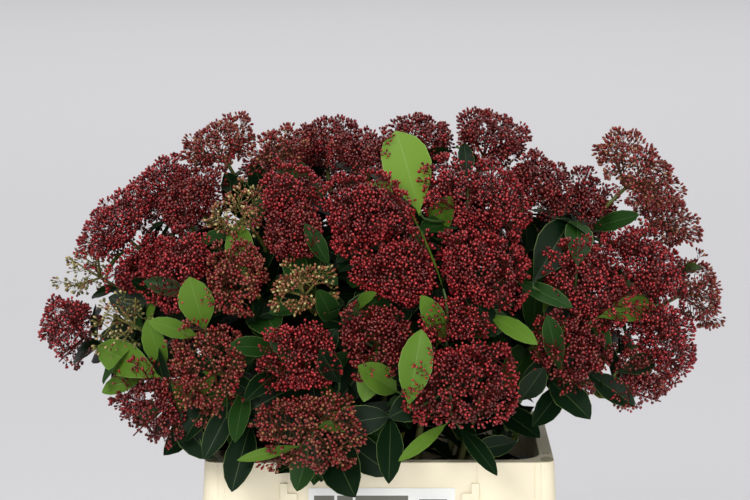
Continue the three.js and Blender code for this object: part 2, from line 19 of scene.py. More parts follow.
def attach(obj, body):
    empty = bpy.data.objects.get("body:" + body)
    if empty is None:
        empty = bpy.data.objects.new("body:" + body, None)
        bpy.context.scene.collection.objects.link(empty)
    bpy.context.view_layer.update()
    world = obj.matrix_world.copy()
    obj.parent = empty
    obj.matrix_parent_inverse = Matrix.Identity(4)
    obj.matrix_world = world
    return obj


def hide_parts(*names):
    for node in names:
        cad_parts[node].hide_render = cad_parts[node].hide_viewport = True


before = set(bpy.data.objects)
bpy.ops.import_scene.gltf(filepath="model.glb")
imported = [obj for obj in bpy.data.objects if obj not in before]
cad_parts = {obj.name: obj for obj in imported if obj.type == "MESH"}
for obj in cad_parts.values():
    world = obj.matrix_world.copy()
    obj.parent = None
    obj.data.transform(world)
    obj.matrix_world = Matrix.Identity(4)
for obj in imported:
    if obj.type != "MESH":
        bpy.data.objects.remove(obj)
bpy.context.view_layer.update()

bl_info = {
    "name": "Skimmia in a container",
    "version": (1, 0, 0),
    "blender": (4, 5, 0),
    "location": "View3D > Sidebar > Skimmia",
    "description": "Makes a cream market container filled with cut skimmia",
    "category": "Add Mesh",
}

MM = 0.001


def srgb(red, green, blue):
    """A colour from 0 to 255 a channel, as the linear values that shaders take."""
    def linear(value):
        value /= 255
        return value / 12.92 if value <= 0.04045 else ((value + 0.055) / 1.055) ** 2.4
    return linear(red), linear(green), linear(blue)


# ---- Sizes of the growth, in millimetres, as in the part's source --------------------------------

CONTAINER = SimpleNamespace(height=340, half_width=190, half_depth=145, corner=16, ledge=15,
                            mouth_corner=32, wall=3, floor=4, taper=15, foot_bevel=5, skirt=120,
                            flare=6)
CARD = SimpleNamespace(width=159, height=84, thickness=0.8, offset=2.6, below=28)
HOLDER = SimpleNamespace(inside=99.5, rail=8.5, proud=3.5, above=5.5, reach=10.5, lip_below=11,
                         lip=1.5, ledge=3, lip_height=6, sunk=1)
DOME = np.array([345.0, 240.0, 325.0])
CROWN = SimpleNamespace(swell=1.12, climb=0.7, overhang=25)
STEM = SimpleNamespace(foot=4.8, tip=3.4, sides=5, segments=5, reach_in=108, lean=0.22, bow=0.34)
SHOOT_AT = 3
SHOOT_CLEAR = 40
STALK = SimpleNamespace(start=3.1, segments=2, reach_in=70)
BEND = SimpleNamespace(stem=0.4, shoot=0.35, panicle=0.6)
HUB = SimpleNamespace(height=4, depth=0.4, ring_at=1 / 3)
TWIG = SimpleNamespace(radius=1.3, cap=0.84, flatness=0.74, spread=0.47, tilt=(70, 86),
                       turn=(0.4, 0.6))
TWIG_ROOM = SimpleNamespace(shaft=(0.25, 0.4, 0.55), points=8, rim=1.05)
SMALL_PANICLE = 41
LEAF = SimpleNamespace(length=100, width=50, thickness=1.6, widest=0.58, fold=0.1, size=(0.85, 1.2))
LEAF_ROOM = SimpleNamespace(along=(0.1, 0.2, 0.3, 0.4, 0.5, LEAF.widest, 0.68, 0.78, 0.88, 1),
                            across=(-1, -0.5, 0, 0.5, 1))
WHORL = SimpleNamespace(count=4, below=6, rise=4.5, open=(45, 75), opening=60, stray=0.4)
TRIES = [(reach, turn) for reach in (1, 0.9, 0.8, 0.7, 0.6) for turn in (0, 0.35, -0.35)]
SEAT_GAP = 0.3
SEAT_STEP = 0.01
SEAT_SAMPLES = [(turn, up) for up in (0, 0.05, 0.1, 0.2) for turn in (0, 0.25, 0.5, 0.75)]
SPACE_MARGIN = 1.5
LIMB_CLEARANCE = 1.2
GROWN_ROOM = 0.9
GOLDEN_ANGLE = math.pi * (3 - math.sqrt(5))

# One row for each stem: the spray at its tip and the one on its side shoot, each a list of
# panicles (across, rise above the rim, radius, tint, set back), and whether it has a twin behind.
BUNCH = [
    ([(-178, 322, 44, "rust", 20), (-203, 268, 44, "wine", -35)],
     [(-290, 236, 46, "crimson", -20), (-244, 272, 44, "crimson", 35)], False),
    ([(-346, 118, 46, "crimson", 0)],
     [(-326, 186, 42, "olive", 15), (-280, 146, 40, "olive", 0), (-262, 202, 42, "crimson", 0)],
     False),
    ([(-62, 326, 42, "wine", 20), (-14, 322, 38, "wine", 0)],
     [(-112, 322, 38, "rust", -10), (-103, 280, 40, "crimson", 0)], False),
    ([(122, 332, 46, "wine", 10)],
     [(52, 330, 42, "wine", 20)], False),
    ([(-16, 262, 54, "crimson", 0)],
     [(100, 278, 54, "crimson", 0)], True),
    ([(176, 284, 46, "wine", -10), (238, 258, 44, "wine", 10)],
     [(286, 296, 50, "rust", -10), (318, 244, 44, "rust", 30)], False),
    ([(290, 196, 52, "crimson", -35), (352, 164, 42, "rust", 20)],
     [(304, 122, 52, "crimson", 0), (285, 76, 44, "wine", 0)], False),
    ([(225, 186, 50, "crimson", 0), (207, 128, 42, "wine", 0)],
     [], True),
    ([(22, 214, 52, "crimson", 0), (-2, 150, 44, "wine", 0)],
     [(100, 214, 52, "crimson", 0), (76, 160, 42, "crimson", 0)], True),
    ([(-87, 246, 44, "wine", 0), (-84, 196, 42, "tan", 0)],
     [(-150, 266, 42, "tan", 0), (-150, 206, 44, "rust", 0), (-214, 206, 46, "crimson", 0)], True),
    ([(-186, 110, 50, "rust", 0), (-246, 66, 46, "wine", 0)],
     [], True),
    ([(-83, 122, 46, "crimson", 0)],
     [(-76, 54, 52, "rust", 0)], True),
    ([(84, 104, 54, "crimson", 0)],
     [], True),
]

# ---- Sizes of the finer growth, in millimetres ---------------------------------------------------

# How each tint's panicles are set: dome area for each cyme, buds in a cyme, how much longer than
# usual its buds are, how ragged its dome is, how many cymes of the dome go with one deeper cyme,
# and which of TWIG_FINISHES its twigs take.
HABITS = {
    "crimson": SimpleNamespace(area=285, buds=11, length=1.0, ragged=0.07, inner=2, twig=1),
    "wine": SimpleNamespace(area=300, buds=11, length=1.05, ragged=0.09, inner=2, twig=1),
    "rust": SimpleNamespace(area=320, buds=10, length=1.15, ragged=0.11, inner=3, twig=2),
    "tan": SimpleNamespace(area=520, buds=8, length=1.2, ragged=0.18, inner=9, twig=3),
    "olive": SimpleNamespace(area=640, buds=7, length=1.1, ragged=0.2, inner=12, twig=3),
}
# Where cymes stand on a panicle. Tilts are in degrees from the top of its dome, depths and swells
# are shares of the dome's radius, and flattened is its area as a share of a round dome's. Cymes
# sway in radians, are jittered in millimetres and keep a margin from the next panicle's space.
COVER = SimpleNamespace(
    tilt=114, under=152, under_share=0.55, under_depth=0.86, inner_depth=0.72, flattened=0.85,
    swells=(0.55, 0.7, 0.82, 0.94, 1.04, 1.14, 1.24, 1.34), spread=1.1, roof=0.8, sway=0.05,
    jitter=1.3, margin=2.2)
# One cyme: how its buds spread from the first one outwards, how their tips hang and lean, and how
# a finer twig's turn adds to the reach that it is chosen by.
CYME = SimpleNamespace(
    height=15, height_share=(0.7, 0.3), radius=9.4, more_buds=(-2, 3), first_bud=0.35,
    scatter=0.6, cup=0.4, uneven=2.6, upright=0.2, askew=0.1, groups=3, sub_share=0.45,
    turn_cost=1.2)
# The room a bud needs: off other buds, other panicles, limbs and leaves. A cyme with fewer than
# the fewest buds left isn't grown.
BUD_GAP = SimpleNamespace(buds=2.9, space=0.5, radius=2.2, limbs=0.4, leaves=3.1, fewest=3)
# Finer twigs leave a primary twig at some places along it, and the hub just above its top.
CARRIER = SimpleNamespace(count=8, along=(0.3, 0.86), above_hub=1.5)
# An opening low at the front, where the stems show between the heads.
WINDOW = SimpleNamespace(left=44, right=215, buds_back=-90, leaves_back=-50, rise=60)
# How far in from the mouth's edge, and how far below the rim, leaves may grow.
MOUTH = SimpleNamespace(clear=8, depth=60)
# The crown's underside climbs away from the container, and is higher on the right. Leaves may
# hang a little below it, and keep to the higher line from leaf_right on.
UNDERSIDE = SimpleNamespace(start=266, lowest=8, right=205, right_rise=60,
                            leaf_slack=6, leaf_right=176)
# A spray's limbs, from the stalk out to the pedicels: radii at both ends, points along each and
# sides round it. A main twig starts inside its hub and ends short of the dome, and a pedicel ends
# inside its bud.
SPRIG = SimpleNamespace(
    stalk=(3.1, 2.1), stalk_smooth=4, stalk_sides=8,
    main=(1.5, 0.8), main_along=(-0.04, 0.88), main_points=6, main_sides=5,
    second=(0.8, 0.55), second_points=3, second_sides=3, second_sunk=0.6, second_bow=0.4,
    sub=0.6, pedicel=0.44, pedicel_end=0.9)
# Each step of the growth draws its numbers from a seed of its own, counted up spray by spray.
SEEDS = SimpleNamespace(stem_leaves=800, extra_leaves=900, cymes=1000, stems=2000, leaves=3000,
                        buds=4000)
FAR_OFF = 1e6  # Further than anything here.
TINY = 1e-6  # Keeps a length from being zero.
STEEP = 0.9  # A direction that rises more than this is set square to X, and not to Z.


# ---- Vectors ------------------------------------------------------------------------------------

def unit(vector):
    """The vector at length one."""
    return vector / np.linalg.norm(vector, axis=-1, keepdims=True)


def across_of(direction):
    """Two unit vectors square to a direction, or to each of an array of directions."""
    steep = abs(direction[..., 2:]) >= STEEP
    side = unit(np.cross(np.where(steep, (1.0, 0, 0), (0, 0, 1.0)), direction))
    return side, np.cross(direction, side)


def radial_at(side, other, angle):
    """The unit vector at an angle from one direction towards another."""
    return side * math.cos(angle) + other * math.sin(angle)


def ring_around(centre, side, other, radius, count, turn=0.0):
    """Points round a centre, anticlockwise from the first direction to the second."""
    angle = turn + math.tau * np.arange(count) / count
    return centre + radius * (np.cos(angle)[:, None] * side + np.sin(angle)[:, None] * other)


def frames_along(path):
    """Headings along a run of points, with two directions square to each that turn little."""
    frames, side = [], None
    for i in range(len(path)):
        heading = unit(path[min(i + 1, len(path) - 1)] - path[max(i - 1, 0)])
        side = across_of(heading)[0] if side is None else unit(side - heading * (side @ heading))
        frames.append((heading, side, np.cross(heading, side)))
    return frames


def bezier(points, shares):
    """Points of a Bezier curve at shares from 0 to 1."""
    level = [np.broadcast_to(point, (len(shares), 3)) for point in points]
    mix = np.asarray(shares)[:, None]
    while len(level) > 1:
        level = [a + (b - a) * mix for a, b in zip(level, level[1:])]
    return level[0]


def spaced(points, segments, steps=200):
    """A Bezier curve cut into segments of equal length."""
    shares = np.linspace(0, 1, steps + 1)
    lengths = np.linalg.norm(np.diff(bezier(points, shares), axis=0), axis=1)
    travelled = np.concatenate([[0], np.cumsum(lengths)])
    return bezier(points, np.interp(np.linspace(0, travelled[-1], segments + 1), travelled, shares))


def smooth_path(points, per_length):
    """A run of points rounded into one smooth curve through all of them."""
    ends = np.vstack([2 * points[0] - points[1], points, 2 * points[-1] - points[-2]])
    share = np.linspace(0, 1, per_length, endpoint=False)[:, None]
    runs = []
    for a, b, c, d in zip(ends, ends[1:], ends[2:], ends[3:]):
        runs.append(0.5 * (2 * b + (c - a) * share + (2 * a - 5 * b + 4 * c - d) * share ** 2
                           + (3 * b - a - 3 * c + d) * share ** 3))
    return np.vstack([*runs, points[-1]])


def seeded(seed):
    """Draws numbers from 0 to 1, the same ones as the part's source draws from that seed."""
    whole = 0xFFFFFFFF  # Keeps the sums to 32 bits, as the source's do.
    state = seed * 2654435761 & whole

    def draw():
        nonlocal state
        state = state + 0x6D2B79F5 & whole
        t = (state ^ state >> 15) * (1 | state) & whole
        t = (t + ((t ^ t >> 7) * (61 | t) & whole) & whole) ^ t
        return (t ^ t >> 14) / 4294967296
    return draw


def mixed(low, high, share):
    """The number that lies at a share of the way from one to another."""
    return low + (high - low) * share


# ---- The bunch: where everything stands ----------------------------------------------------------

RIM = np.array([0.0, 0.0, CONTAINER.height])


def panicle_at(row, turned):
    """A panicle on the dome: its middle, and the way it faces, which is the way the dome curves."""
    across, rise, radius, tint, back = row
    share = (across / DOME[0]) ** 2 + (rise / DOME[2]) ** 2
    depth = back - DOME[1] * math.sqrt(max(0, 1 - share))
    sign = -1 if turned else 1
    local = np.array([sign * across, sign * depth, rise], float)
    return SimpleNamespace(middle=local + RIM, facing=unit(local / DOME), radius=radius, tint=tint)


def spray_of(rows, turned):
    """A spray: its panicles, and the fork where their stalks part."""
    panicles = [panicle_at(row, turned) for row in rows]
    middle = sum(panicle.middle for panicle in panicles) / len(panicles)
    facing = unit((middle - RIM) / DOME)
    return SimpleNamespace(panicles=panicles, middle=middle, facing=facing,
                           fork=middle - facing * STALK.reach_in)


def angle_between(first, second):
    """The angle between two vectors, in radians."""
    return math.acos(np.clip(unit(first) @ unit(second), -1, 1))


def stem_curve(spray):
    """The corners of a stem's curve, from its foot on the floor out through the mouth."""
    end = spray.middle - spray.facing * STEM.reach_in
    flat = spray.middle * (1, 1, 0)
    foot, shoulder = flat * STEM.lean, flat * STEM.bow + RIM
    lean = angle_between(shoulder - foot, RIM)
    foot[2] = CONTAINER.floor + SEAT_GAP + STEM.foot * math.sin(lean)
    approach = end - spray.facing * BEND.stem * np.linalg.norm(end - shoulder)
    return [foot, shoulder, approach, end]


def stand_off(point, path, frames):
    """How far a point stands off the flat-sided flank of a stem."""
    starts, runs = path[:-1], np.diff(path, axis=0)
    shares = np.clip(((point - starts) * runs).sum(1) / (runs ** 2).sum(1), 0, 1)
    arms = point - starts - runs * shares[:, None]
    i = int(np.argmin((arms ** 2).sum(1)))
    radius = mixed(STEM.foot, STEM.tip, (i + shares[i]) / len(runs))
    to_side = math.pi / STEM.sides
    sides = ring_around(np.zeros(3), frames[i][1], frames[i][2], 1, STEM.sides, to_side)
    return (sides @ arms[i]).max() - radius * math.cos(to_side)


def shoot_path(path, spray):
    """A side shoot leaves the stem's flank, just clear of it, and bends to its spray's fork."""
    start = path[SHOOT_AT]
    bend = spray.fork - spray.facing * BEND.shoot * np.linalg.norm(start - spray.fork)
    heading = unit(bend - start)
    frames = frames_along(path)

    def path_from(clear):
        return spaced([start + heading * clear, bend, spray.fork], STALK.segments)

    def clears(clear):
        run = path_from(clear)
        rings = [ring_around(point, side, other, STALK.start, STEM.sides)
                 for point, (_, side, other) in zip(run, frames_along(run))]
        for i in range(STEM.sides):
            after = (i + 1) % STEM.sides
            for turn, up in SEAT_SAMPLES:
                low = mixed(rings[0][i], rings[0][after], turn)
                high = mixed(rings[1][i], rings[1][after], turn)
                if stand_off(mixed(low, high, up), path, frames) <= SEAT_GAP:
                    return False
        return True

    inside, outside = 0, SHOOT_CLEAR
    while outside - inside > SEAT_STEP:
        middle = (inside + outside) / 2
        if clears(middle):
            outside = middle
        else:
            inside = middle
    return path_from(outside)


def tip_stalk(path, fork):
    """The spray at the stem's tip stands on its cut end, just clear of it."""
    heading = unit(path[-1] - path[-2])
    tilt = angle_between(heading, fork - path[-1])
    return np.array([path[-1] + heading * (SEAT_GAP + STALK.start * math.sin(tilt)), fork])


def set_out_bunch():
    """All stems and sprays, in the order of the part's nodes."""
    stems, sprays = [], []
    for turned in (False, True):
        for tip_rows, shoot_rows, twin in BUNCH:
            if turned and not twin:
                continue
            tip = spray_of(tip_rows, turned)
            curve = stem_curve(tip)
            path = spaced(curve, STEM.segments)
            stems.append(SimpleNamespace(curve=curve, path=path))
            tip.stalk = tip_stalk(path, tip.fork)
            tip.joint = path[-1]
            sprays.append(tip)
            if shoot_rows:
                shoot = spray_of(shoot_rows, turned)
                shoot.stalk = shoot_path(path, shoot)
                shoot.joint = path[SHOOT_AT]
                sprays.append(shoot)
    for spray in sprays:
        for index, panicle in enumerate(spray.panicles):
            panicle.hub = panicle.middle - panicle.facing * HUB.depth * panicle.radius
            reach = np.linalg.norm(panicle.hub - spray.fork)
            bend = panicle.hub - panicle.facing * BEND.panicle * reach
            panicle.stalk = np.vstack([spray.stalk, bend]) if index == 0 \
                else np.array([spray.fork, bend])
            panicle.sides = 4 if panicle.radius < SMALL_PANICLE else 5
            panicle.frame = frames_along(np.vstack([panicle.stalk, panicle.hub]))[-1]
    return stems, sprays


class Room:
    """Says whether a twig or a leaf has room where it would grow."""

    def __init__(self, stems, sprays):
        self.panicles = [(panicle, number) for number, spray in enumerate(sprays)
                         for panicle in spray.panicles]
        self.middles = np.array([panicle.middle for panicle, _ in self.panicles])
        self.radii = np.array([panicle.radius for panicle, _ in self.panicles])
        self.sprays = np.array([number for _, number in self.panicles])
        runs = [(stem.path, STEM.foot, -1) for stem in stems]
        runs += [(np.vstack([panicle.stalk, panicle.hub]), STALK.start, number)
                 for panicle, number in self.panicles]
        self.starts = np.vstack([path[:-1] for path, _, _ in runs])
        self.runs = np.vstack([np.diff(path, axis=0) for path, _, _ in runs])
        lengths = [len(path) - 1 for path, _, _ in runs]
        self.limb_radii = np.repeat([radius for _, radius, _ in runs], lengths)
        self.limb_sprays = np.repeat([number for _, _, number in runs], lengths)

    def clear_of_limbs(self, points, radii, number, clearance=LIMB_CLEARANCE):
        """Whether each ball keeps off every limb but those of its own spray."""
        offset = points[:, None] - self.starts
        share = np.clip((offset * self.runs).sum(2) / (self.runs ** 2).sum(1), 0, 1)
        apart = np.linalg.norm(offset - self.runs * share[..., None], axis=2)
        room = apart > self.limb_radii + np.asarray(radii).reshape(-1, 1) + clearance
        return (room | (self.limb_sprays == number)).all(1)

    def in_own_space(self, points, owners, margin=SPACE_MARGIN):
        """Whether no other panicle is nearer to each point, by power distance."""
        power = ((points[:, None] - self.middles) ** 2).sum(2) - self.radii ** 2
        own = np.flatnonzero(owners)
        nearest = own[np.argmin(power[:, own], axis=1)]
        apart = np.linalg.norm(self.middles[nearest][:, None] - self.middles, axis=2)
        lead = power - power[np.arange(len(points)), nearest][:, None]
        with np.errstate(divide="ignore", invalid="ignore"):
            return ((lead / (2 * apart) > margin) | owners).all(1)

    @staticmethod
    def clear_of_container(points):
        """Whether each point is above the rim or outside the skirt."""
        outside = CONTAINER.flare + LEAF.thickness + SPACE_MARGIN
        return ((points[:, 2] > CONTAINER.height + LEAF.thickness + SPACE_MARGIN)
                | (abs(points[:, 0]) > CONTAINER.half_width + outside)
                | (abs(points[:, 1]) > CONTAINER.half_depth + outside))

    @staticmethod
    def within_mouth(points):
        """Whether each point is just inside the container's mouth."""
        inset = CONTAINER.ledge + MOUTH.clear
        return ((abs(points[:, 0]) < CONTAINER.half_width - inset)
                & (abs(points[:, 1]) < CONTAINER.half_depth - inset)
                & (points[:, 2] > CONTAINER.height - MOUTH.depth))

    @staticmethod
    def inside_crown(points):
        """Whether each point is within the outline that the leaves keep to."""
        local = points - RIM
        climb = CROWN.climb * np.maximum(0, abs(local[:, 0]) - CONTAINER.half_width)
        return (local[:, 2] > climb - CROWN.overhang) \
            & (np.linalg.norm(local / DOME, axis=1) < CROWN.swell)

    @staticmethod
    def clear_of_grown(points, radii, taken):
        """Whether the balls keep off what has grown on the spray."""
        if not taken:
            return True
        others = np.vstack([ball[0] for ball in taken])
        sizes = np.concatenate([ball[1] for ball in taken])
        apart = np.linalg.norm(points[:, None] - others, axis=2)
        return bool((apart > GROWN_ROOM * (sizes + np.asarray(radii)[:, None])).all())

    def fits(self, room, number, owners, taken):
        """Whether a piece with this room may grow."""
        corners, balls, radii, leafy = room
        return bool(self.in_own_space(corners, owners).all()
                    and (not leafy or self.inside_crown(corners).all())
                    and self.clear_of_container(balls).all()
                    and self.clear_of_limbs(balls, radii, number).all()
                    and self.clear_of_grown(balls, radii, taken))


def leaf_room(leaf):
    """The room a leaf takes: its outline's corners, and small balls all over its blade."""
    def point_at(share, edge):
        return (leaf.root + leaf.direction * leaf.length * share
                + leaf.across * edge * leaf.width / 2
                + leaf.normal * abs(edge) * leaf.width * LEAF.fold)
    shares = np.array(LEAF_ROOM.along)
    half = np.where(shares < LEAF.widest, shares / LEAF.widest,
                    (1 - shares) / (1 - LEAF.widest))
    balls = [point_at(share, edge * wide) for share, wide in zip(shares, half)
             for edge in LEAF_ROOM.across]
    corners = [point_at(1, 0), point_at(LEAF.widest, 1), point_at(LEAF.widest, -1)]
    return np.array(corners), np.array(balls), np.full(len(balls), LEAF.thickness), True


def twig_room(twig):
    """The room a twig takes: its cap's corners, and its shaft and cap as balls."""
    run = twig.tip - twig.root
    middle = twig.root + run * TWIG.cap
    side, other = across_of(unit(run))
    corners = np.vstack([twig.tip, ring_around(middle, side, other, twig.cap * TWIG_ROOM.rim,
                                               TWIG_ROOM.points)])
    balls = np.array([*(twig.root + run * share for share in TWIG_ROOM.shaft), middle])
    return corners, balls, np.array([TWIG.radius] * len(TWIG_ROOM.shaft) + [twig.cap]), False


def leaf_from(root, heading, radial, spread, length, width, **more):
    """A leaf that opens from a limb by an angle, its upper face looking inwards."""
    direction = heading * math.cos(spread) + radial * math.sin(spread)
    across = np.cross(heading, radial)
    return SimpleNamespace(root=root, direction=direction, across=across,
                           normal=np.cross(direction, across), length=length, width=width, **more)


def whorl(top, facing, draw):
    """Makers of leaves round a stalk, each turned so that its upper face looks inwards."""
    side, other = across_of(facing)
    first = draw() * math.tau

    def maker(index):
        angle = first + GOLDEN_ANGLE * index + (draw() - 0.5) * WHORL.stray
        opened = mixed(*WHORL.open, draw())
        size = mixed(*LEAF.size, draw())
        root = top - facing * index * WHORL.rise

        def make(reach, turn):
            spread = math.radians(opened + WHORL.opening * (1 - reach))
            return leaf_from(root, facing, radial_at(side, other, angle + turn), spread,
                             LEAF.length * size * reach, LEAF.width * size * reach)
        return make
    return [maker(index) for index in range(WHORL.count)]


def primary_twigs(panicle, draw):
    """Makers of a ring of twigs and of one straight up, all ending on the panicle's dome."""
    _, side, other = panicle.frame

    def twig_to(root, tilt, angle):
        outward = (panicle.facing * TWIG.flatness * math.cos(tilt)
                   + side * math.sin(tilt) * math.cos(angle)
                   + other * math.sin(tilt) * math.sin(angle))

        def make(reach, _):
            tip = panicle.middle + outward * panicle.radius * reach
            return SimpleNamespace(root=root, tip=tip, cap=TWIG.spread * panicle.radius * reach)
        return make

    makers = []
    for i in range(panicle.sides):
        angle = math.tau * (i + mixed(*TWIG.turn, draw())) / panicle.sides
        tilt = math.radians(mixed(*TWIG.tilt, draw()))
        makers.append(twig_to(panicle.hub + panicle.facing * HUB.height * HUB.ring_at, tilt, angle))
    return [*makers, twig_to(panicle.hub + panicle.facing * HUB.height, 0, 0)]


def grow_sprays(stems, sprays):
    """Gives every panicle its primary twigs, and every spray its leaves, where they have room."""
    room = Room(stems, sprays)
    for number, spray in enumerate(sprays):
        draw, taken = seeded(number + 1), []

        def grow(makers, room_of, owners):
            grown = []
            for make in makers:
                for reach, turn in TRIES:
                    piece = make(reach, turn)
                    needs = room_of(piece)
                    if room.fits(needs, number, owners, taken):
                        taken.append(needs[1:3])
                        grown.append(piece)
                        break
            return grown

        for panicle in spray.panicles:
            owners = np.array([other is panicle for other, _ in room.panicles])
            panicle.twigs = grow(primary_twigs(panicle, draw), twig_room, owners)
        owners = room.sprays == number
        spray.leaves = []
        for hub, facing in [*((p.hub, p.facing) for p in spray.panicles),
                            (spray.fork, spray.facing)]:
            makers = whorl(hub - facing * WHORL.below, facing, draw)
            spray.leaves += grow(makers, leaf_room, owners)
    return room


# ---- Finer growth: cymes of buds -----------------------------------------------------------------

def dome_arms(panicle, tilt, angle):
    """Arms from a panicle's middle to its dome, and the outward directions there."""
    _, side, other = panicle.frame
    across = (np.sin(tilt) * np.cos(angle))[..., None] * side \
        + (np.sin(tilt) * np.sin(angle))[..., None] * other
    rise = np.cos(tilt)[..., None] * panicle.facing
    return (panicle.radius * (across + rise * TWIG.flatness),
            unit(across + rise / TWIG.flatness))


def swollen(panicle, arms, owners, room):
    """How far each arm of the dome may be drawn out within the panicle's own space."""
    swell = np.zeros(len(arms))
    for share in COVER.swells:
        points = panicle.middle + arms * share
        free = room.in_own_space(points, owners, COVER.margin) & room.clear_of_container(points)
        free &= arms @ panicle.facing * share < COVER.roof * panicle.radius
        swell[free] = share
    return swell


def outside_window(points, depth):
    """Whether each point keeps out of the opening low at the front."""
    across, back, rise = (points - RIM).T
    return ((across < WINDOW.left) | (across > WINDOW.right) | (back > depth)
            | (rise > WINDOW.rise))


def above_underside(points, lowest=UNDERSIDE.lowest, slack=0.0, right=UNDERSIDE.right):
    """Whether each point is above the crown's underside."""
    across, back, rise = (points - RIM).T
    line = np.maximum(lowest, np.hypot(across, back) - UNDERSIDE.start)
    line = np.where(across > right, np.maximum(line, UNDERSIDE.right_rise), line)
    return rise > line - slack


def dome_area(panicle, start, end):
    """Roughly the area of the dome between two tilts, in square millimetres."""
    radius = panicle.radius * COVER.spread
    cap = math.cos(math.radians(start)) - math.cos(math.radians(end))
    return COVER.flattened * math.tau * radius ** 2 * cap


def carrier_points(panicle):
    """Places on the panicle's primary twigs that finer twigs may leave, and their headings."""
    shares = np.linspace(*CARRIER.along, CARRIER.count)[:, None]
    places, headings = [], []
    for twig in panicle.twigs:
        run = twig.tip - twig.root
        places.append(twig.root + run * shares)
        headings.append(np.broadcast_to(unit(run), (CARRIER.count, 3)))
    places.append((panicle.hub + panicle.facing * HUB.height * CARRIER.above_hub)[None])
    headings.append(panicle.facing[None])
    return np.vstack(places), np.vstack(headings)


def cyme_bases(panicle, habit, owners, room, random):
    """Where cymes stand: over the dome, drawn out to what surrounds it, then in and under it."""
    count = round(dome_area(panicle, 0, COVER.tilt) / habit.area)
    under = round(dome_area(panicle, COVER.tilt, COVER.under) / habit.area * COVER.under_share)
    tilt, angle, depth = [], [], []
    for number, start, end, share in ((count, 0, COVER.tilt, 1.0),
                                      (count // habit.inner, 0, COVER.tilt, COVER.inner_depth),
                                      (under, COVER.tilt, COVER.under, COVER.under_depth)):
        top, low = math.cos(math.radians(start)), math.cos(math.radians(end))
        tilt.append(np.arccos(top + (low - top) * (np.arange(number) + 0.5) / number))
        angle.append(GOLDEN_ANGLE * np.arange(number) + random.uniform(0, math.tau))
        depth.append(np.full(number, share))
    tilt, angle, depth = map(np.concatenate, (tilt, angle, depth))
    arms, outward = dome_arms(panicle, tilt + random.normal(0, COVER.sway, len(tilt)), angle)
    swell = swollen(panicle, arms, owners, room)
    ragged = 1 - np.abs(random.normal(0, habit.ragged, len(tilt)))
    centres = panicle.middle + arms * (swell * depth * ragged)[:, None] \
        + random.normal(0, COVER.jitter, arms.shape)
    return centres[swell > 0], outward[swell > 0], depth[swell > 0]


def cyme_buds(centre, normal, depth, habit, random):
    """The buds of one cyme: its base, their tips and axes, and each one's turn round it."""
    side, other = across_of(normal)
    buds = habit.buds + int(random.integers(*CYME.more_buds))
    out = np.sqrt((np.arange(buds) + CYME.first_bud) / buds) * CYME.radius
    turn = GOLDEN_ANGLE * np.arange(buds) + random.uniform(0, math.tau)
    tips = centre + out[:, None] * (np.cos(turn)[:, None] * side
                                    + np.sin(turn)[:, None] * other)
    tips += random.normal(0, CYME.scatter, tips.shape)
    tips -= normal * (out[:, None] ** 2 / CYME.radius * CYME.cup
                      + random.uniform(0, CYME.uneven, (buds, 1)))
    least, more = CYME.height_share
    base = centre - normal * CYME.height * (least + more * depth)
    axes = unit(unit(tips - base) + normal * CYME.upright
                + random.normal(0, CYME.askew, tips.shape))
    return base, tips, axes, turn


def set_cymes(panicle, number, room, blades, random):
    """Covers a panicle's dome with cymes of buds, and finds the twig that carries each."""
    habit = HABITS[panicle.tint]
    owners = np.array([other is panicle for other, _ in room.panicles])
    places, headings = carrier_points(panicle)
    panicle.cymes, placed, bearing = [], np.full((1, 3), FAR_OFF), set()
    for centre, normal, depth in zip(*cyme_bases(panicle, habit, owners, room, random)):
        base, tips, axes, turn = cyme_buds(centre, normal, depth, habit, random)
        keep = room.in_own_space(tips, owners, BUD_GAP.space)
        keep &= outside_window(tips, WINDOW.buds_back) & above_underside(tips)
        keep &= room.clear_of_container(tips)
        keep &= room.clear_of_limbs(tips, [BUD_GAP.radius] * len(tips), number, BUD_GAP.limbs)
        keep &= np.array([blades.find(tip)[2] > BUD_GAP.leaves for tip in tips])
        keep &= np.linalg.norm(tips[:, None] - placed, axis=2).min(1) > BUD_GAP.buds
        keep &= random.uniform(0, 1, len(tips)) > habit.ragged
        if keep.sum() < BUD_GAP.fewest:
            continue
        tips, axes, turn = tips[keep], axes[keep], turn[keep]
        placed = np.vstack([placed, tips])
        offsets = base - places
        reach = np.linalg.norm(offsets, axis=1)
        bend = 1 - (offsets * headings).sum(1) / np.maximum(reach, TINY)
        parent = int(np.argmin(reach * (1 + CYME.turn_cost * bend)))
        bearing.add(parent // CARRIER.count)
        group = (turn / (math.tau / CYME.groups)).astype(int) % CYME.groups
        panicle.cymes.append(SimpleNamespace(
            base=base, tips=tips, axes=axes, group=group, root=places[parent],
            heading=headings[parent], reach=reach[parent], hidden=depth < 1))
    panicle.bearing = [twig for index, twig in enumerate(panicle.twigs) if index in bearing]


# ---- Finer growth: leaves -----------------------------------------------------------------------

# Further leaves below the source's own: how many, and how far below, under each hub, the fork and
# lower down the stalk, and how far one stands below another.
EXTRA = SimpleNamespace(hub=(4, 14), fork=(5, 12), low=(5, 34), rise=4, open=(50, 95),
                        size=(0.7, 1.0))


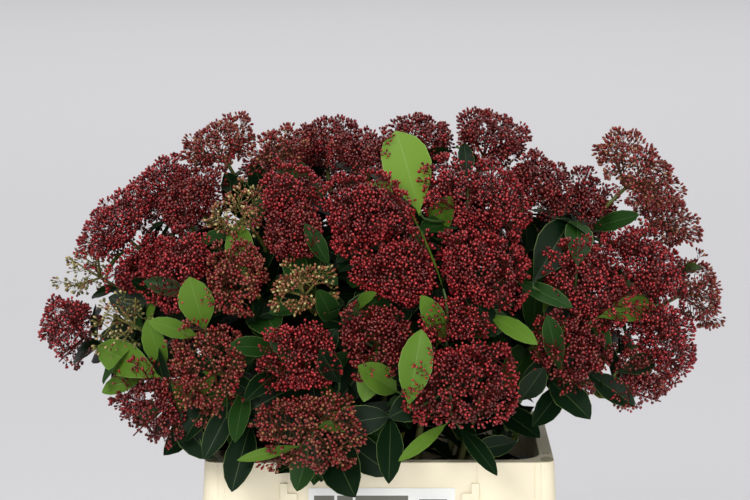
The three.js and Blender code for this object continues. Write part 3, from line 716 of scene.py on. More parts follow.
def extra_leaves(spray, number, room, random):
    """Further leaves below the source's own, where they have room."""
    owners = room.sprays == number
    places = [(panicle.hub, panicle.facing, EXTRA.hub) for panicle in spray.panicles]
    places += [(spray.fork, spray.facing, EXTRA.fork), (spray.fork, spray.facing, EXTRA.low)]
    taken = [leaf_room(leaf)[1:3] for leaf in spray.leaves]
    for point, facing, (count, below) in places:
        top = point - facing * below
        side, other = across_of(facing)
        first = random.uniform(0, math.tau)
        for i in range(count):
            angle = first + GOLDEN_ANGLE * i
            for reach, turn in TRIES:
                spread = math.radians(random.uniform(*EXTRA.open))
                size = random.uniform(*EXTRA.size) * reach
                leaf = leaf_from(top - facing * EXTRA.rise * i, facing,
                                 radial_at(side, other, angle + turn), spread,
                                 LEAF.length * size, LEAF.width * size)
                needs = leaf_room(leaf)
                if room.fits(needs, number, owners, taken):
                    taken.append(needs[1:3])
                    spray.leaves.append(leaf)
                    break


# The notable leaves: root and tip as across, set back and rise above the rim, width and tone.
NOTABLE_LEAVES = (
    (44, -123, 267, 18, -45, 363, 54, "pale"),
    (57, -150, 241, 73, -132, 284, 29, "light"),
    (68, -216, 199, 38, -162, 277, 10, "light"),
    (97, -86, 295, 94, -25, 340, 18, "dark"),
    (163, -156, 197, 217, -42, 261, 44, "dark"),
    (213, -124, 209, 222, -46, 261, 33, "mid"),
    (233, -52, 234, 283, -40, 258, 22, "mid"),
    (341, 0, 172, 361, -10, 201, 16, "light"),
    (234, -145, 159, 312, -46, 161, 30, "light"),
    (145, -175, 197, 204, -179, 179, 21, "mid"),
    (-187, -193, 145, -203, -172, 205, 39, "light"),
    (-199, -149, 178, -256, -114, 196, 20, "mid"),
    (-194, -189, 137, -245, -165, 159, 21, "light"),
    (-232, -171, 95, -250, -157, 154, 26, "light"),
    (-234, -163, 96, -315, -86, 121, 38, "light"),
    (-248, -152, 96, -304, -118, 73, 22, "light"),
    (-106, -229, 130, -155, -222, 143, 23, "mid"),
    (-48, -230, 156, -59, -225, 194, 25, "mid"),
    (71, -239, 140, 47, -232, 194, 25, "light"),
    (30, -243, 79, 44, -244, 162, 36, "light"),
    (20, -252, 87, -19, -260, 126, 31, "light"),
    (116, -222, 166, 162, -226, 151, 21, "light"),
    (-53, -199, 215, -77, -171, 262, 19, "mid"),
    (-29, -230, 169, -8, -232, 200, 15, "light"),
    (-137, -218, 52, -157, -234, -8, 34, "dark"),
    (12, -236, 60, 10, -264, 10, 29, "dark"),
    (-152, -218, 80, -186, -222, 22, 27, "dark"),
    (-143, -230, 89, -153, -243, 48, 23, "mid"),
    (-83, -246, 31, -148, -236, 23, 13, "light"),
    (73, -252, 54, 26, -260, 31, 15, "light"),
    (86, -226, 42, 119, -250, 20, 20, "dark"),
    (74, -120, 50, 103, -130, 16, 24, "dark"),
    (122, -100, 50, 152, -110, 34, 22, "dark"),
    (126, -140, 50, 172, -140, 30, 30, "dark"),
    (152, -160, 14, 102, -175, 20, 24, "dark"),
    (181, -204, 93, 222, -205, 66, 34, "dark"),
    (203, -170, 80, 168, -186, 52, 28, "dark"),
    (222, -180, 99, 275, -161, 67, 28, "dark"),
    (194, -204, 104, 179, -199, 169, 25, "mid"),
    (254, -156, 101, 311, -94, 108, 24, "dark"),
    (-104, -235, 110, -140, -244, 90, 23, "dark"),
    (-42, -245, 94, -61, -244, 139, 25, "dark"),
    (151, -221, 70, 172, -218, 113, 27, "dark"),
    (-232, -60, 118, -306, -66, 128, 34, "dark"),
    (-226, -50, 140, -300, -50, 168, 34, "dark"),
    (-222, -40, 168, -280, -40, 205, 34, "dark"),
    (-215, -70, 150, -262, -90, 190, 30, "dark"),
    (-140, -20, 235, -170, -20, 300, 34, "dark"),
    (-118, -10, 240, -140, -10, 310, 30, "dark"),
)
# A leaf shorter than the least is drawn back at its root. It faces out of the crown and forwards,
# or sideways where it is as narrow as a leaf seen edge on, and a limb above its root counts as
# further away. Buds leave the view of it open for some way in front, tried in steps.
NOTABLE = SimpleNamespace(least=78, outwards=0.35, forwards=np.array([0, -1, 0.3]), edge_on=12,
                          sideways=np.array([1.0, -0.15, 0]), above=40, slimmest=0.3,
                          towards=np.array([0, -1, 0.16]), step=6,
                          clear={"pale": 120, "light": 100, "mid": 100, "dark": 60})


def notable_leaves(sprays, room):
    """Leaves at named places, each on a petiole from the nearest limb."""
    for *places, width, tone in NOTABLE_LEAVES:
        root, tip = np.array(places[:3], float) + RIM, np.array(places[3:], float) + RIM
        short = max(0, NOTABLE.least ** 2 - ((tip - root) ** 2).sum())
        root = root + np.array([0, math.sqrt(short), 0])
        direction = unit(tip - root)
        facing = unit(unit((root + tip) / 2 - RIM) * NOTABLE.outwards + NOTABLE.forwards)
        across = unit(np.cross(NOTABLE.sideways if width < NOTABLE.edge_on else facing,
                               direction))
        offset = root - room.starts
        share = np.clip((offset * room.runs).sum(1) / (room.runs ** 2).sum(1), 0, 1)
        feet = room.starts + room.runs * share[:, None]
        reach = np.linalg.norm(root - feet, axis=1) \
            + np.where(feet[:, 2] > root[2], NOTABLE.above, 0)
        near = int(np.argmin(reach))
        number = int(room.limb_sprays[near])
        if number < 0:
            number = int(room.sprays[np.argmin(((room.middles - root) ** 2).sum(1))])
        length = np.linalg.norm(tip - root)
        leaf = SimpleNamespace(root=root, direction=direction, across=across,
                               normal=np.cross(direction, across), length=length,
                               width=max(width, NOTABLE.slimmest * length), tone=tone,
                               foot=feet[near], exact=width)
        sprays[number].leaves.append(leaf)


# Leaves up a limb: from which share of a stem's length, one every how many millimetres, and how
# each further attempt strays and shrinks. A leaf keeps off a panicle's middle by a share of its
# radius, and stays inside a share of the crown.
STEM_LEAVES = SimpleNamespace(first=0.5, start=6, spacing=8, stem_steps=60, stalk_smooth=12,
                              length=(70, 104), slim=0.44, open=(38, 80), attempts=9, stray=0.9,
                              shrink=0.05, seat=0.5, clear=0.74, crown=1)
# The cubes that say where leaves already stand: their size, and how many there are each way.
CELL = SimpleNamespace(size=5.0, count=1000)
# The balls of a leaf's room that lie past its base, and the first of those at its widest.
PAST_BASE = 2 * len(LEAF_ROOM.across)
WIDEST_BALL = LEAF_ROOM.along.index(LEAF.widest) * len(LEAF_ROOM.across)


def cells_of(points):
    """The small cubes that points lie in, each as one number."""
    whole = np.floor(points / CELL.size).astype(np.int64) + CELL.count // 2
    return set((whole @ np.array([CELL.count ** 2, CELL.count, 1])).tolist())


def stem_leaves(stems, sprays, room, random):
    """Leaves up the stems and stalks, in the shade under the heads, where they have room."""
    s, taken = STEM_LEAVES, set()
    for spray in sprays:
        for leaf in spray.leaves:
            taken |= cells_of(leaf_room(leaf)[1])
    limbs = [(spaced(stem.curve, s.stem_steps)[round(s.stem_steps * s.first):], STEM.tip)
             for stem in stems]
    limbs += [(smooth_path(np.vstack([spray.joint, spray.stalk]), s.stalk_smooth), STALK.start)
              for spray in sprays]
    for line, thickness in limbs:
        lengths = np.concatenate([[0], np.cumsum(np.linalg.norm(np.diff(line, axis=0), axis=1))])
        turn = random.uniform(0, math.tau)
        for travelled in np.arange(s.start, lengths[-1], s.spacing):
            i = min(int(np.searchsorted(lengths, travelled)), len(line) - 1)
            point, heading = line[i], unit(line[i] - line[i - 1])
            side, other = across_of(heading)
            turn += GOLDEN_ANGLE
            for attempt in range(s.attempts):
                angle = turn + random.uniform(-s.stray, s.stray) * (attempt > 0)
                spread = math.radians(random.uniform(*s.open))
                length = random.uniform(*s.length) * (1 - s.shrink * attempt)
                radial = radial_at(side, other, angle)
                leaf = leaf_from(point + radial * thickness * s.seat, heading, radial, spread,
                                 length, s.slim * length, shaded=True)
                corners, balls = leaf_room(leaf)[:2]
                blade = balls[PAST_BASE:]
                apart = np.linalg.norm(blade[:, None] - room.middles, axis=2) / room.radii
                cells = cells_of(blade)
                if (apart.min() > s.clear
                        and (room.inside_crown(corners) | room.within_mouth(corners)).all()
                        and (np.linalg.norm((corners - RIM) / DOME, axis=1) < s.crown).all()
                        and (room.clear_of_container(blade) | room.within_mouth(blade)).all()
                        and taken.isdisjoint(cells)):
                    taken |= cells
                    near = np.argmin(((room.middles - balls[WIDEST_BALL]) ** 2).sum(1))
                    sprays[room.sprays[near]].leaves.append(leaf)
                    break


def tree_of(points):
    """A tree that finds the nearest of many points."""
    tree = KDTree(len(points))
    for index, point in enumerate(points):
        tree.insert(point, index)
    tree.balance()
    return tree


@lru_cache(maxsize=None)
def bunch():
    """The whole plant, grown once and shared by the operators that dress it."""
    stems, sprays = set_out_bunch()
    room = grow_sprays(stems, sprays)
    for number, spray in enumerate(sprays):
        spray.tint = spray.panicles[0].tint
        extra_leaves(spray, number, room, np.random.default_rng(SEEDS.extra_leaves + number))
    stem_leaves(stems, sprays, room, np.random.default_rng(SEEDS.stem_leaves))
    for spray in sprays:
        spray.leaves = [leaf for leaf in spray.leaves
                        if outside_window(leaf_room(leaf)[1], WINDOW.leaves_back).all()
                        and above_underside(leaf_room(leaf)[1], -CROWN.overhang,
                                            UNDERSIDE.leaf_slack, UNDERSIDE.leaf_right).all()]
    notable_leaves(sprays, room)
    blades = []
    for spray in sprays:
        for leaf in spray.leaves:
            balls = leaf_room(leaf)[1]
            blades.append(balls)
            if hasattr(leaf, "tone"):
                blades += [balls + NOTABLE.towards * step for step in
                           range(NOTABLE.step, NOTABLE.clear[leaf.tone], NOTABLE.step)]
    blades = tree_of(np.vstack(blades))
    for number, spray in enumerate(sprays):
        random = np.random.default_rng(SEEDS.cymes + number)
        for panicle in spray.panicles:
            set_cymes(panicle, number, room, blades, random)
    return SimpleNamespace(stems=stems, sprays=sprays)


# ---- Joined meshes from arrays -------------------------------------------------------------------

# The most triangles that a joined piece may have.
PIECE_LIMIT = 190_000


class Heap:
    """Small closed shapes, in millimetres, gathered spray by spray for joined meshes."""

    def __init__(self):
        self.parts = {}

    def add(self, number, corners, *groups):
        """Takes copies of a shape: corners (copies, points, 3) and groups of faces of one size."""
        copies, points = corners.shape[:2]
        offsets = (np.arange(copies) * points)[:, None, None]
        runs = [((faces + offsets).reshape(-1, faces.shape[1]),
                 np.broadcast_to(finishes, (copies, len(faces))).reshape(-1))
                for faces, finishes in groups]
        self.parts.setdefault(number, []).append((corners.reshape(-1, 3), runs))

    def triangles(self, number):
        """How many triangles a spray's shapes have."""
        return sum(len(faces) * (faces.shape[1] - 2)
                   for _, runs in self.parts.get(number, []) for faces, _ in runs)

    def shares(self, numbers):
        """The sprays in runs that each stay under the limit for a piece."""
        runs, total = [[]], 0
        for number in numbers:
            size = self.triangles(number)
            if total + size > PIECE_LIMIT:
                runs.append([])
                total = 0
            runs[-1].append(number)
            total += size
        return [run for run in runs if run]

    def mesh(self, name, numbers, materials):
        """One joined mesh of the shapes of some sprays."""
        corners, loops, sizes, finishes, count = [], [], [], [], 0
        for number in numbers:
            for points, runs in self.parts.get(number, []):
                corners.append(points)
                for faces, finish in runs:
                    loops.append((faces + count).ravel())
                    sizes.append(np.full(len(faces), faces.shape[1]))
                    finishes.append(finish)
                count += len(points)
        corners, loops = np.vstack(corners) * MM, np.concatenate(loops)
        sizes, finishes = np.concatenate(sizes), np.concatenate(finishes)
        mesh = bpy.data.meshes.new(name)
        mesh.vertices.add(len(corners))
        mesh.vertices.foreach_set("co", corners.ravel().astype(np.float32))
        mesh.loops.add(len(loops))
        mesh.loops.foreach_set("vertex_index", loops.astype(np.int32))
        mesh.polygons.add(len(sizes))
        starts = np.concatenate([[0], np.cumsum(sizes)[:-1]])
        mesh.polygons.foreach_set("loop_start", starts.astype(np.int32))
        mesh.polygons.foreach_set("material_index", finishes.astype(np.int32))
        mesh.polygons.foreach_set("use_smooth", np.ones(len(sizes), bool))
        for material in materials:
            mesh.materials.append(material)
        mesh.update(calc_edges=True)
        mesh.validate()
        return mesh


def tube_corners(paths, radii, sides):
    """Rings of corners along runs of points: paths (copies, points, 3), radii (copies, points)."""
    count = paths.shape[1]
    after = np.minimum(np.arange(count) + 1, count - 1)
    before = np.maximum(np.arange(count) - 1, 0)
    headings = unit(paths[:, after] - paths[:, before])
    side = across_of(headings[:, 0])[0]
    angles = math.tau * np.arange(sides) / sides
    rings = []
    for i in range(count):
        heading = headings[:, i]
        side = unit(side - heading * (side * heading).sum(1, keepdims=True))
        other = np.cross(heading, side)
        arms = np.cos(angles)[None, :, None] * side[:, None] \
            + np.sin(angles)[None, :, None] * other[:, None]
        rings.append(paths[:, i, None] + arms * radii[:, i, None, None])
    return np.stack(rings, axis=1).reshape(len(paths), count * sides, 3)


def tube_faces(count, sides):
    """Quads between a tube's rings, and its two flat ends."""
    first, side = np.meshgrid(np.arange(count - 1) * sides, np.arange(sides), indexing="ij")
    after = (side + 1) % sides
    quads = np.stack([first + side, first + after, first + sides + after,
                      first + sides + side], axis=-1).reshape(-1, 4)
    ends = np.array([np.arange(sides)[::-1], (count - 1) * sides + np.arange(sides)])
    return quads, ends


def add_tubes(heap, number, paths, radii, sides, finish):
    """Adds tapering closed tubes along runs of points of one length."""
    paths, radii = np.asarray(paths, float), np.asarray(radii, float)
    quads, ends = tube_faces(paths.shape[1], sides)
    heap.add(number, tube_corners(paths, radii, sides), (quads, finish), (ends, finish))


# ---- Twigs --------------------------------------------------------------------------------------

# Each colour of stalks and twigs: its setting, its material's name, roughness and coat.
TWIG_FINISHES = (("stalk", "stalk_green", 0.5, 0.1), ("ruddy", "twig_ruddy", 0.55, 0.0),
                 ("brown", "twig_brown", 0.55, 0.0), ("green", "twig_green", 0.55, 0.0))
SPIKE_FACES = np.array([[0, 2, 1], [0, 1, 3], [1, 2, 3], [2, 0, 3]])


def add_spikes(heap, number, lines, radius, finish):
    """The finest twigs, each a slim three-sided spike that widens outwards from its root."""
    rings = tube_corners(lines, np.full(lines.shape[:2], radius), 3)
    corners = np.concatenate([rings[:, :3], lines[:, 1:]], axis=1)
    heap.add(number, corners, (SPIKE_FACES, finish))


def add_twigs(heap, number, spray):
    """The spray's stalks, primary twigs, finer twigs and pedicels."""
    s = SPRIG
    for index, panicle in enumerate(spray.panicles):
        finish = HABITS[panicle.tint].twig
        start = [spray.joint] if index == 0 else []
        line = smooth_path(np.array([*start, *panicle.stalk, panicle.hub
                                     + panicle.facing * HUB.height]), s.stalk_smooth)
        add_tubes(heap, number, [line], [np.linspace(*s.stalk, len(line))], s.stalk_sides, 0)
        for twig in panicle.bearing:
            shares = np.linspace(*s.main_along, s.main_points)
            line = twig.root + (twig.tip - twig.root) * shares[:, None]
            radii = np.linspace(*s.main, s.main_points)
            add_tubes(heap, number, [line], [radii], s.main_sides, finish)
        if not panicle.cymes:
            continue
        steps = np.linspace(0, 1, s.second_points)
        lines = [bezier([c.root - c.heading * s.second_sunk,
                         c.root + c.heading * s.second_bow * c.reach, c.base], steps)
                 for c in panicle.cymes]
        radii = [np.linspace(*s.second, s.second_points)] * len(lines)
        add_tubes(heap, number, lines, radii, s.second_sides, finish)
        subs, pedicels = [], []
        for c in panicle.cymes:
            feet = c.tips - c.axes * BUD.length * s.pedicel_end
            for group in range(CYME.groups):
                mine = feet[c.group == group]
                if not len(mine):
                    continue
                node = c.base + (mine.mean(0) - c.base) * CYME.sub_share
                subs.append([node, c.base])
                pedicels += [[foot, node] for foot in mine]
        add_spikes(heap, number, np.array(subs), s.sub, finish)
        add_spikes(heap, number, np.array(pedicels), s.pedicel, finish)


# ---- Buds ---------------------------------------------------------------------------------------

BUD = SimpleNamespace(length=4.5, width=3.3, size=(0.86, 1.12), stretch=(0.92, 1.1))
# Rings round a bud: rise and width. A bud deep in its head needs only one.
BUD_RINGS = ((0.28, 0.66), (0.7, 1.0))
HIDDEN_BUD_RINGS = ((0.6, 1.35),)
BUD_SIDES = 4


def bud_template(rings):
    """A bud along +Z from 0 to 1 and 1 wide: its points, and its lower and upper faces."""
    angles = math.tau * np.arange(BUD_SIDES) / BUD_SIDES
    points = [[0, 0, 0]]
    for level, (rise, size) in enumerate(rings):
        turned = angles + level * math.pi / BUD_SIDES
        points += [[0.5 * size * math.cos(a), 0.5 * size * math.sin(a), rise] for a in turned]
    points.append([0, 0, 1])
    lower, upper = [], []
    for i in range(BUD_SIDES):
        j = (i + 1) % BUD_SIDES
        lower.append([0, 1 + j, 1 + i])
        for low in range(1, 1 + BUD_SIDES * (len(rings) - 1), BUD_SIDES):
            high = low + BUD_SIDES
            lower += [[low + i, low + j, high + i], [low + j, high + j, high + i]]
        high = 1 + BUD_SIDES * (len(rings) - 1)
        upper.append([high + i, high + j, len(points) - 1])
    return np.array(points), np.array(lower), np.array(upper)


# Which plain colours each tint's buds are dealt, and how often.
DEALS = {
    "crimson": {"crimson": 0.52, "ruby": 0.2, "dusk": 0.2, "wine": 0.08},
    "wine": {"wine": 0.42, "dusk": 0.25, "crimson": 0.2, "rust": 0.13},
    "rust": {"rust": 0.38, "wine": 0.34, "tan": 0.12, "crimson": 0.16},
    "tan": {"tan": 0.5, "rust": 0.22, "cream": 0.2, "olive": 0.08},
    "olive": {"olive": 0.5, "cream": 0.25, "tan": 0.15, "rust": 0.1},
}
# Buds deep in a crimson or wine head are dealt dark colours as painted shade.
PAINTED_SHADE_DEAL = {"dusk": 0.65, "wine": 0.35}
PAINTED_SHADE_TINTS = ("crimson", "wine")
# The darker base stands for the bud's sepals; the tip's lighter colour is partly its own pink and
# partly a painted highlight.
BUD_BASE_SHADE = 0.7  # A bud's base is darker than its tip.
BUD_COLOURS = ("crimson", "ruby", "dusk", "wine", "rust", "tan", "cream", "olive")


def add_buds(heap, number, spray, random, width):
    """The spray's buds, each dealt a plain colour: one for its base, a shinier one for its tip;
    deep buds of red heads take dark colours as painted shade.
    """
    for panicle, hidden in product(spray.panicles, (False, True)):
        cymes = [cyme for cyme in panicle.cymes if cyme.hidden == hidden]
        if not cymes:
            continue
        points, lower, upper = bud_template(HIDDEN_BUD_RINGS if hidden else BUD_RINGS)
        # Deep buds of crimson and wine heads take the dark deal: painted shade.
        inside = hidden and panicle.tint in PAINTED_SHADE_TINTS
        deal = PAINTED_SHADE_DEAL if inside else DEALS[panicle.tint]
        tips = np.vstack([cyme.tips for cyme in cymes])
        axes = np.vstack([cyme.axes for cyme in cymes])
        side, other = across_of(axes)
        each = (len(tips), 1, 1)
        size = random.uniform(*BUD.size, each)
        long = BUD.length * HABITS[panicle.tint].length * size \
            * random.uniform(*BUD.stretch, each)
        wide = width * size
        left, back, up = (points[None, :, i:i + 1] for i in range(3))
        corners = (tips - axes * long[:, 0])[:, None] + left * wide * side[:, None] \
            + back * wide * other[:, None] + up * long * axes[:, None]
        dealt = random.choice([BUD_COLOURS.index(name) for name in deal], len(tips),
                              p=list(deal.values()))[:, None]
        heap.add(number, corners, (lower, dealt * 2), (upper, dealt * 2 + 1))


# ---- Leaves -------------------------------------------------------------------------------------

# Stations along a blade, as its share of length and of half its width, and columns across it.
BLADE = ((0, 0.05), (0.07, 0.1), (0.18, 0.42), (0.34, 0.8), (0.52, 1), (0.7, 0.93), (0.85, 0.66),
         (0.95, 0.3), (1, 0.02))
COLUMNS = (-1, -0.965, -0.5, -0.03, 0.03, 0.5, 0.965, 1)
SHADED_BLADE = BLADE[::2]
SHADED_COLUMNS = (-1, -0.05, 0.05, 1)
# The leaves' colours, and how often a leaf in the open and one in the shade takes each. The dark
# tone that a shaded leaf mostly takes is painted shade.
LEAF_TONES = ("dark", "mid", "light", "pale")
OPEN_TONES = (0.6, 0.3, 0.08, 0.02)
PAINTED_SHADE_TONES = (0.9, 0.1, 0, 0)
# How blades bend. A leaf whose middle lies deep in the crown counts as shaded and takes its tone as
# painted shade, and a notable leaf bends less.
BEND_OF_BLADE = SimpleNamespace(curl=(0.15, 0.85), notable_curl=(0.1, 0.35), fold=(0.04, 0.2),
                                wave=0.06, slim=(0.38, 0.46), middle=0.6, deep=0.72)
PETIOLE = SimpleNamespace(run=14, into=3, radii=(2.0, 1.1), points=5, sides=5,
                          finish=len(LEAF_TONES) + LEAF_TONES.index("mid"))


def blade_faces(stations, columns):
    """Quads of one blade, and whether each is its green (0), its midrib (1) or its edge (2)."""
    wide, faces, parts = len(columns), [], []
    edged = (0, wide - 2) if wide > len(SHADED_COLUMNS) else ()
    for station in range(len(stations) - 1):
        for column in range(wide - 1):
            a = station * wide + column
            faces.append([a, a + 1, a + 1 + wide, a + wide])
            parts.append(2 if column in edged else int(column == wide // 2 - 1))
    return np.array(faces), np.array(parts)


def add_leaves(heap, number, spray, random):
    """The spray's leaves: bent blades with a pale edge and midrib."""
    b, p = BEND_OF_BLADE, PETIOLE
    for leaf in spray.leaves:
        shaded = hasattr(leaf, "shaded")
        stations = np.array(SHADED_BLADE if shaded else BLADE)
        columns = np.array(SHADED_COLUMNS if shaded else COLUMNS)
        faces, parts = blade_faces(stations, columns)
        share, half = stations[:, 0], stations[:, 1, None]
        middle = leaf.root + leaf.direction * leaf.length * b.middle
        shaded |= bool(np.linalg.norm((middle - RIM) / DOME) < b.deep)
        curl = random.uniform(*b.curl)
        fold = random.uniform(*b.fold)
        wave = random.uniform(-b.wave, b.wave, len(share))[:, None]
        width = getattr(leaf, "exact", leaf.length * random.uniform(*b.slim))
        if hasattr(leaf, "foot"):
            curl = random.uniform(*b.notable_curl)
            line = bezier([leaf.foot, leaf.root - leaf.direction * p.run,
                           leaf.root + leaf.direction * p.into], np.linspace(0, 1, p.points))
            add_tubes(heap, number, [line], [np.linspace(*p.radii, p.points)], p.sides, p.finish)
        forward = leaf.length * np.sin(curl * share) / curl
        drop = leaf.length * (1 - np.cos(curl * share)) / curl
        centre = leaf.root + forward[:, None] * leaf.direction - drop[:, None] * leaf.normal
        up = np.cos(curl * share)[:, None] * leaf.normal \
            + np.sin(curl * share)[:, None] * leaf.direction
        across = columns * half * width / 2
        lift = abs(across) * fold * 2 + columns ** 2 * wave * half * width
        corners = centre[:, None] + across[..., None] * leaf.across + lift[..., None] * up[:, None]
        # A shaded leaf mostly takes the dark tone, as painted shade.
        tone = LEAF_TONES.index(leaf.tone) if hasattr(leaf, "tone") \
            else random.choice(len(LEAF_TONES), p=PAINTED_SHADE_TONES if shaded else OPEN_TONES)
        heap.add(number, corners.reshape(1, -1, 3), (faces, tone + len(LEAF_TONES) * parts))


# ---- Stems --------------------------------------------------------------------------------------

# The bark's relief: leaf joints as shares of the stem's length, and heights in millimetres.
BARK = SimpleNamespace(steps=56, sides=12, joint_every=(0.055, 0.075), joint_length=0.12,
                       joint=0.55, scar=0.5, ridge=0.16, rough=0.1)


def add_stem(heap, number, stem, random):
    """A stem with the swellings of old leaf joints and shallow ridges along its bark."""
    b = BARK
    line = spaced(stem.curve, b.steps)
    share = np.linspace(0, 1, b.steps + 1)
    radius = mixed(STEM.foot, STEM.tip, share)
    spacing = random.uniform(*b.joint_every)
    phase = (share / spacing + random.uniform(0, 1)) % 1
    joints = np.exp(-((phase - 0.5) / b.joint_length) ** 2) * b.joint
    corners = tube_corners(line[None], radius[None], b.sides).reshape(b.steps + 1, b.sides, 3)
    arms = unit(corners - line[:, None])
    ridges = random.normal(0, b.ridge, (1, b.sides)) \
        + random.normal(0, b.rough, (b.steps + 1, b.sides))
    turn = random.uniform(0, math.tau)
    scar = np.cos(math.tau * np.arange(b.sides) / b.sides - turn)[None] * joints[:, None] * b.scar
    corners = corners + arms * (ridges + joints[:, None] + scar)[..., None]
    quads, ends = tube_faces(b.steps + 1, b.sides)
    heap.add(number, corners.reshape(1, -1, 3), (quads, 0), (ends, 0))


# ---- Materials ----------------------------------------------------------------------------------

class Socket:
    """A value in a material's nodes, so that shader maths is written as an expression."""

    def __init__(self, finish, output):
        self.finish, self.output = finish, output

    def maths(self, operation, first, second):
        """A Math node on two values or numbers."""
        return self.finish.node("ShaderNodeMath", {"operation": operation}, {0: first, 1: second})

    def __add__(self, other):
        return self.maths("ADD", self, other)

    def __radd__(self, other):
        return self.maths("ADD", other, self)

    def __mul__(self, other):
        return self.maths("MULTIPLY", self, other)

    def __rmul__(self, other):
        return self.maths("MULTIPLY", other, self)


class Finish:
    """A material with a Principled shader, whose sockets take numbers, colours or nodes."""

    def __init__(self, name, colour, **numbers):
        self.material = bpy.data.materials.new(name)
        self.material.use_nodes = True
        self.tree = self.material.node_tree
        self.shader = next(n for n in self.tree.nodes if n.type == "BSDF_PRINCIPLED")
        self.material.diffuse_color = (*colour, 1)
        self.set("Base Color", (*colour, 1))
        for socket, value in numbers.items():
            self.set(socket.replace("_", " ").title(), value)

    def set(self, socket, value):
        """Sets a socket of the shader, or links a node's output to it."""
        self.fill(self.shader.inputs[socket], value)

    def fill(self, socket, value):
        """Sets or links one input."""
        if isinstance(value, Socket):
            self.tree.links.new(value.output, socket)
        else:
            socket.default_value = value

    def node(self, kind, settings=None, inputs=None, output=0):
        """A node of any type, its settings first and then its sockets."""
        node = self.tree.nodes.new(kind)
        for name, value in (settings or {}).items():
            if name == "stops":
                for element, (place, colour) in zip(node.color_ramp.elements, value):
                    element.position, element.color = place, (*colour, 1)
            else:
                setattr(node, name, value)
        for socket, value in (inputs or {}).items():
            self.fill(node.inputs[socket], value)
        return Socket(self, node.outputs[output])

    def place(self, scale=(1, 1, 1)):
        """The object's own coordinates, stretched."""
        here = self.node("ShaderNodeTexCoord", output="Object")
        return self.node("ShaderNodeMapping", None, {"Vector": here, "Scale": scale})

    def noise(self, scale, detail=4.0, stretch=(1, 1, 1)):
        """Noise from 0 to 1, in grains of about 1 / scale metres."""
        return self.node("ShaderNodeTexNoise", None, {
            "Vector": self.place(stretch), "Scale": scale, "Detail": detail})

    def blend(self, share, low, high):
        """A colour between two."""
        return self.node("ShaderNodeMix", {"data_type": "RGBA"}, {
            0: share, 6: (*low, 1), 7: (*high, 1)}, output=2)

    def relief(self, height, distance, strength=1.0):
        """A bump from a height, on the Normal socket."""
        self.set("Normal", self.node("ShaderNodeBump", None, {
            "Height": height, "Distance": distance, "Strength": strength}))


def shade(colour, factor):
    """A colour made darker or lighter."""
    return tuple(min(1.0, channel * factor) for channel in colour)


# Clouds, grains, fibres, streaks and flecks are in grains to a metre, tones are shares of the
# colour's own, and reliefs are a height in metres and a strength.
PLASTIC = SimpleNamespace(cloud=9, grain=900, grain_share=0.6, tones=(0.88, 1.04), uneven=0.16,
                          relief=(0.0002, 0.35))
PAPER = SimpleNamespace(fibre=420, stretch=(1, 1, 0.4), roughness=0.55, relief=(0.00008, 0.3))
BARK_FINISH = SimpleNamespace(streak=160, stretch=(1, 1, 0.16), fleck=55, streak_share=0.6,
                              stops=[(0.48, (0, 0, 0)), (0.68, (1, 1, 1))],
                              roughness=0.6, smoothest=0.5, uneven=0.22, relief=(0.0007, 0.7))
COAT_ROUGHNESS = 0.3


def plastic_finish(name, colour, roughness):
    """Moulded plastic: a fine grain, faint scuffs and a little dust in its colour."""
    colour, p = tuple(colour), PLASTIC
    finish = Finish(name, colour, roughness=roughness)
    cloud, grain = finish.noise(p.cloud, detail=3), finish.noise(p.grain, detail=2)
    dark, light = (shade(colour, tone) for tone in p.tones)
    finish.set("Base Color", finish.blend(cloud, dark, light))
    finish.set("Roughness", roughness - p.uneven / 2 + cloud * p.uneven)
    finish.relief(grain * p.grain_share + cloud * (1 - p.grain_share), *p.relief)
    return finish.material


def paper_finish(name, colour, fleck):
    """Plain card: a soft sheen over faint fibres."""
    colour = tuple(colour)
    finish = Finish(name, colour, roughness=PAPER.roughness)
    fibre = finish.noise(PAPER.fibre, detail=3, stretch=PAPER.stretch)
    dark, light = shade(colour, 1 - fleck), shade(colour, 1 + fleck)
    finish.set("Base Color", finish.blend(fibre, dark, light))
    finish.relief(fibre, *PAPER.relief)
    return finish.material


def bark_finish(settings):
    """Young olive bark with brown flecks and fine streaks along the stem."""
    b, green = BARK_FINISH, tuple(settings.bark)
    finish = Finish("olive_bark", green, roughness=b.roughness)
    streak = finish.noise(b.streak, detail=5, stretch=b.stretch)
    fleck = finish.noise(b.fleck, detail=4)
    amount = finish.node("ShaderNodeValToRGB", {"stops": b.stops},
                         {"Fac": streak * b.streak_share + fleck * (1 - b.streak_share)})
    finish.set("Base Color", finish.blend(amount, green, tuple(settings.bark_fleck)))
    finish.set("Roughness", b.smoothest + streak * b.uneven)
    finish.relief(streak, *b.relief)
    return finish.material


def plain_finish(name, colour, roughness, coat=0.0, gloss=0.2):
    """A plain base colour, for pieces joined from many small shapes."""
    finish = Finish(name, tuple(colour), roughness=roughness, coat_weight=coat)
    finish.set("Coat Roughness", COAT_ROUGHNESS)
    finish.set("Specular IOR Level", gloss)
    return finish.material


# ---- Pieces -------------------------------------------------------------------------------------

def finish_piece(mesh, name, replaced):
    """Puts a mesh in the scene as a piece that rides on the root and stands for CAD nodes."""
    piece = bpy.data.objects.new(name, mesh)
    bpy.context.scene.collection.objects.link(piece)
    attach(piece, "root")
    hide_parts(*replaced)


def numbered(name, number):
    """A node's name, such as stem_01 for number 0."""
    return f"{name}_{number + 1:02d}"


def mesh_of(bm, name, materials):
    """Ends a bmesh as a mesh with its materials."""
    mesh = bpy.data.meshes.new(name)
    bm.to_mesh(mesh)
    bm.free()
    for material in materials:
        mesh.materials.append(material)
    mesh.validate()
    return mesh


# ---- Container ----------------------------------------------------------------------------------

SKIRT_LEAN = math.atan(CONTAINER.flare / CONTAINER.skirt)
# How the moulding's edges are rounded, in millimetres and segments.
ROUND = SimpleNamespace(corner_segments=6, rim=0.9, rim_segments=3, bar=0.4, bar_segments=2)


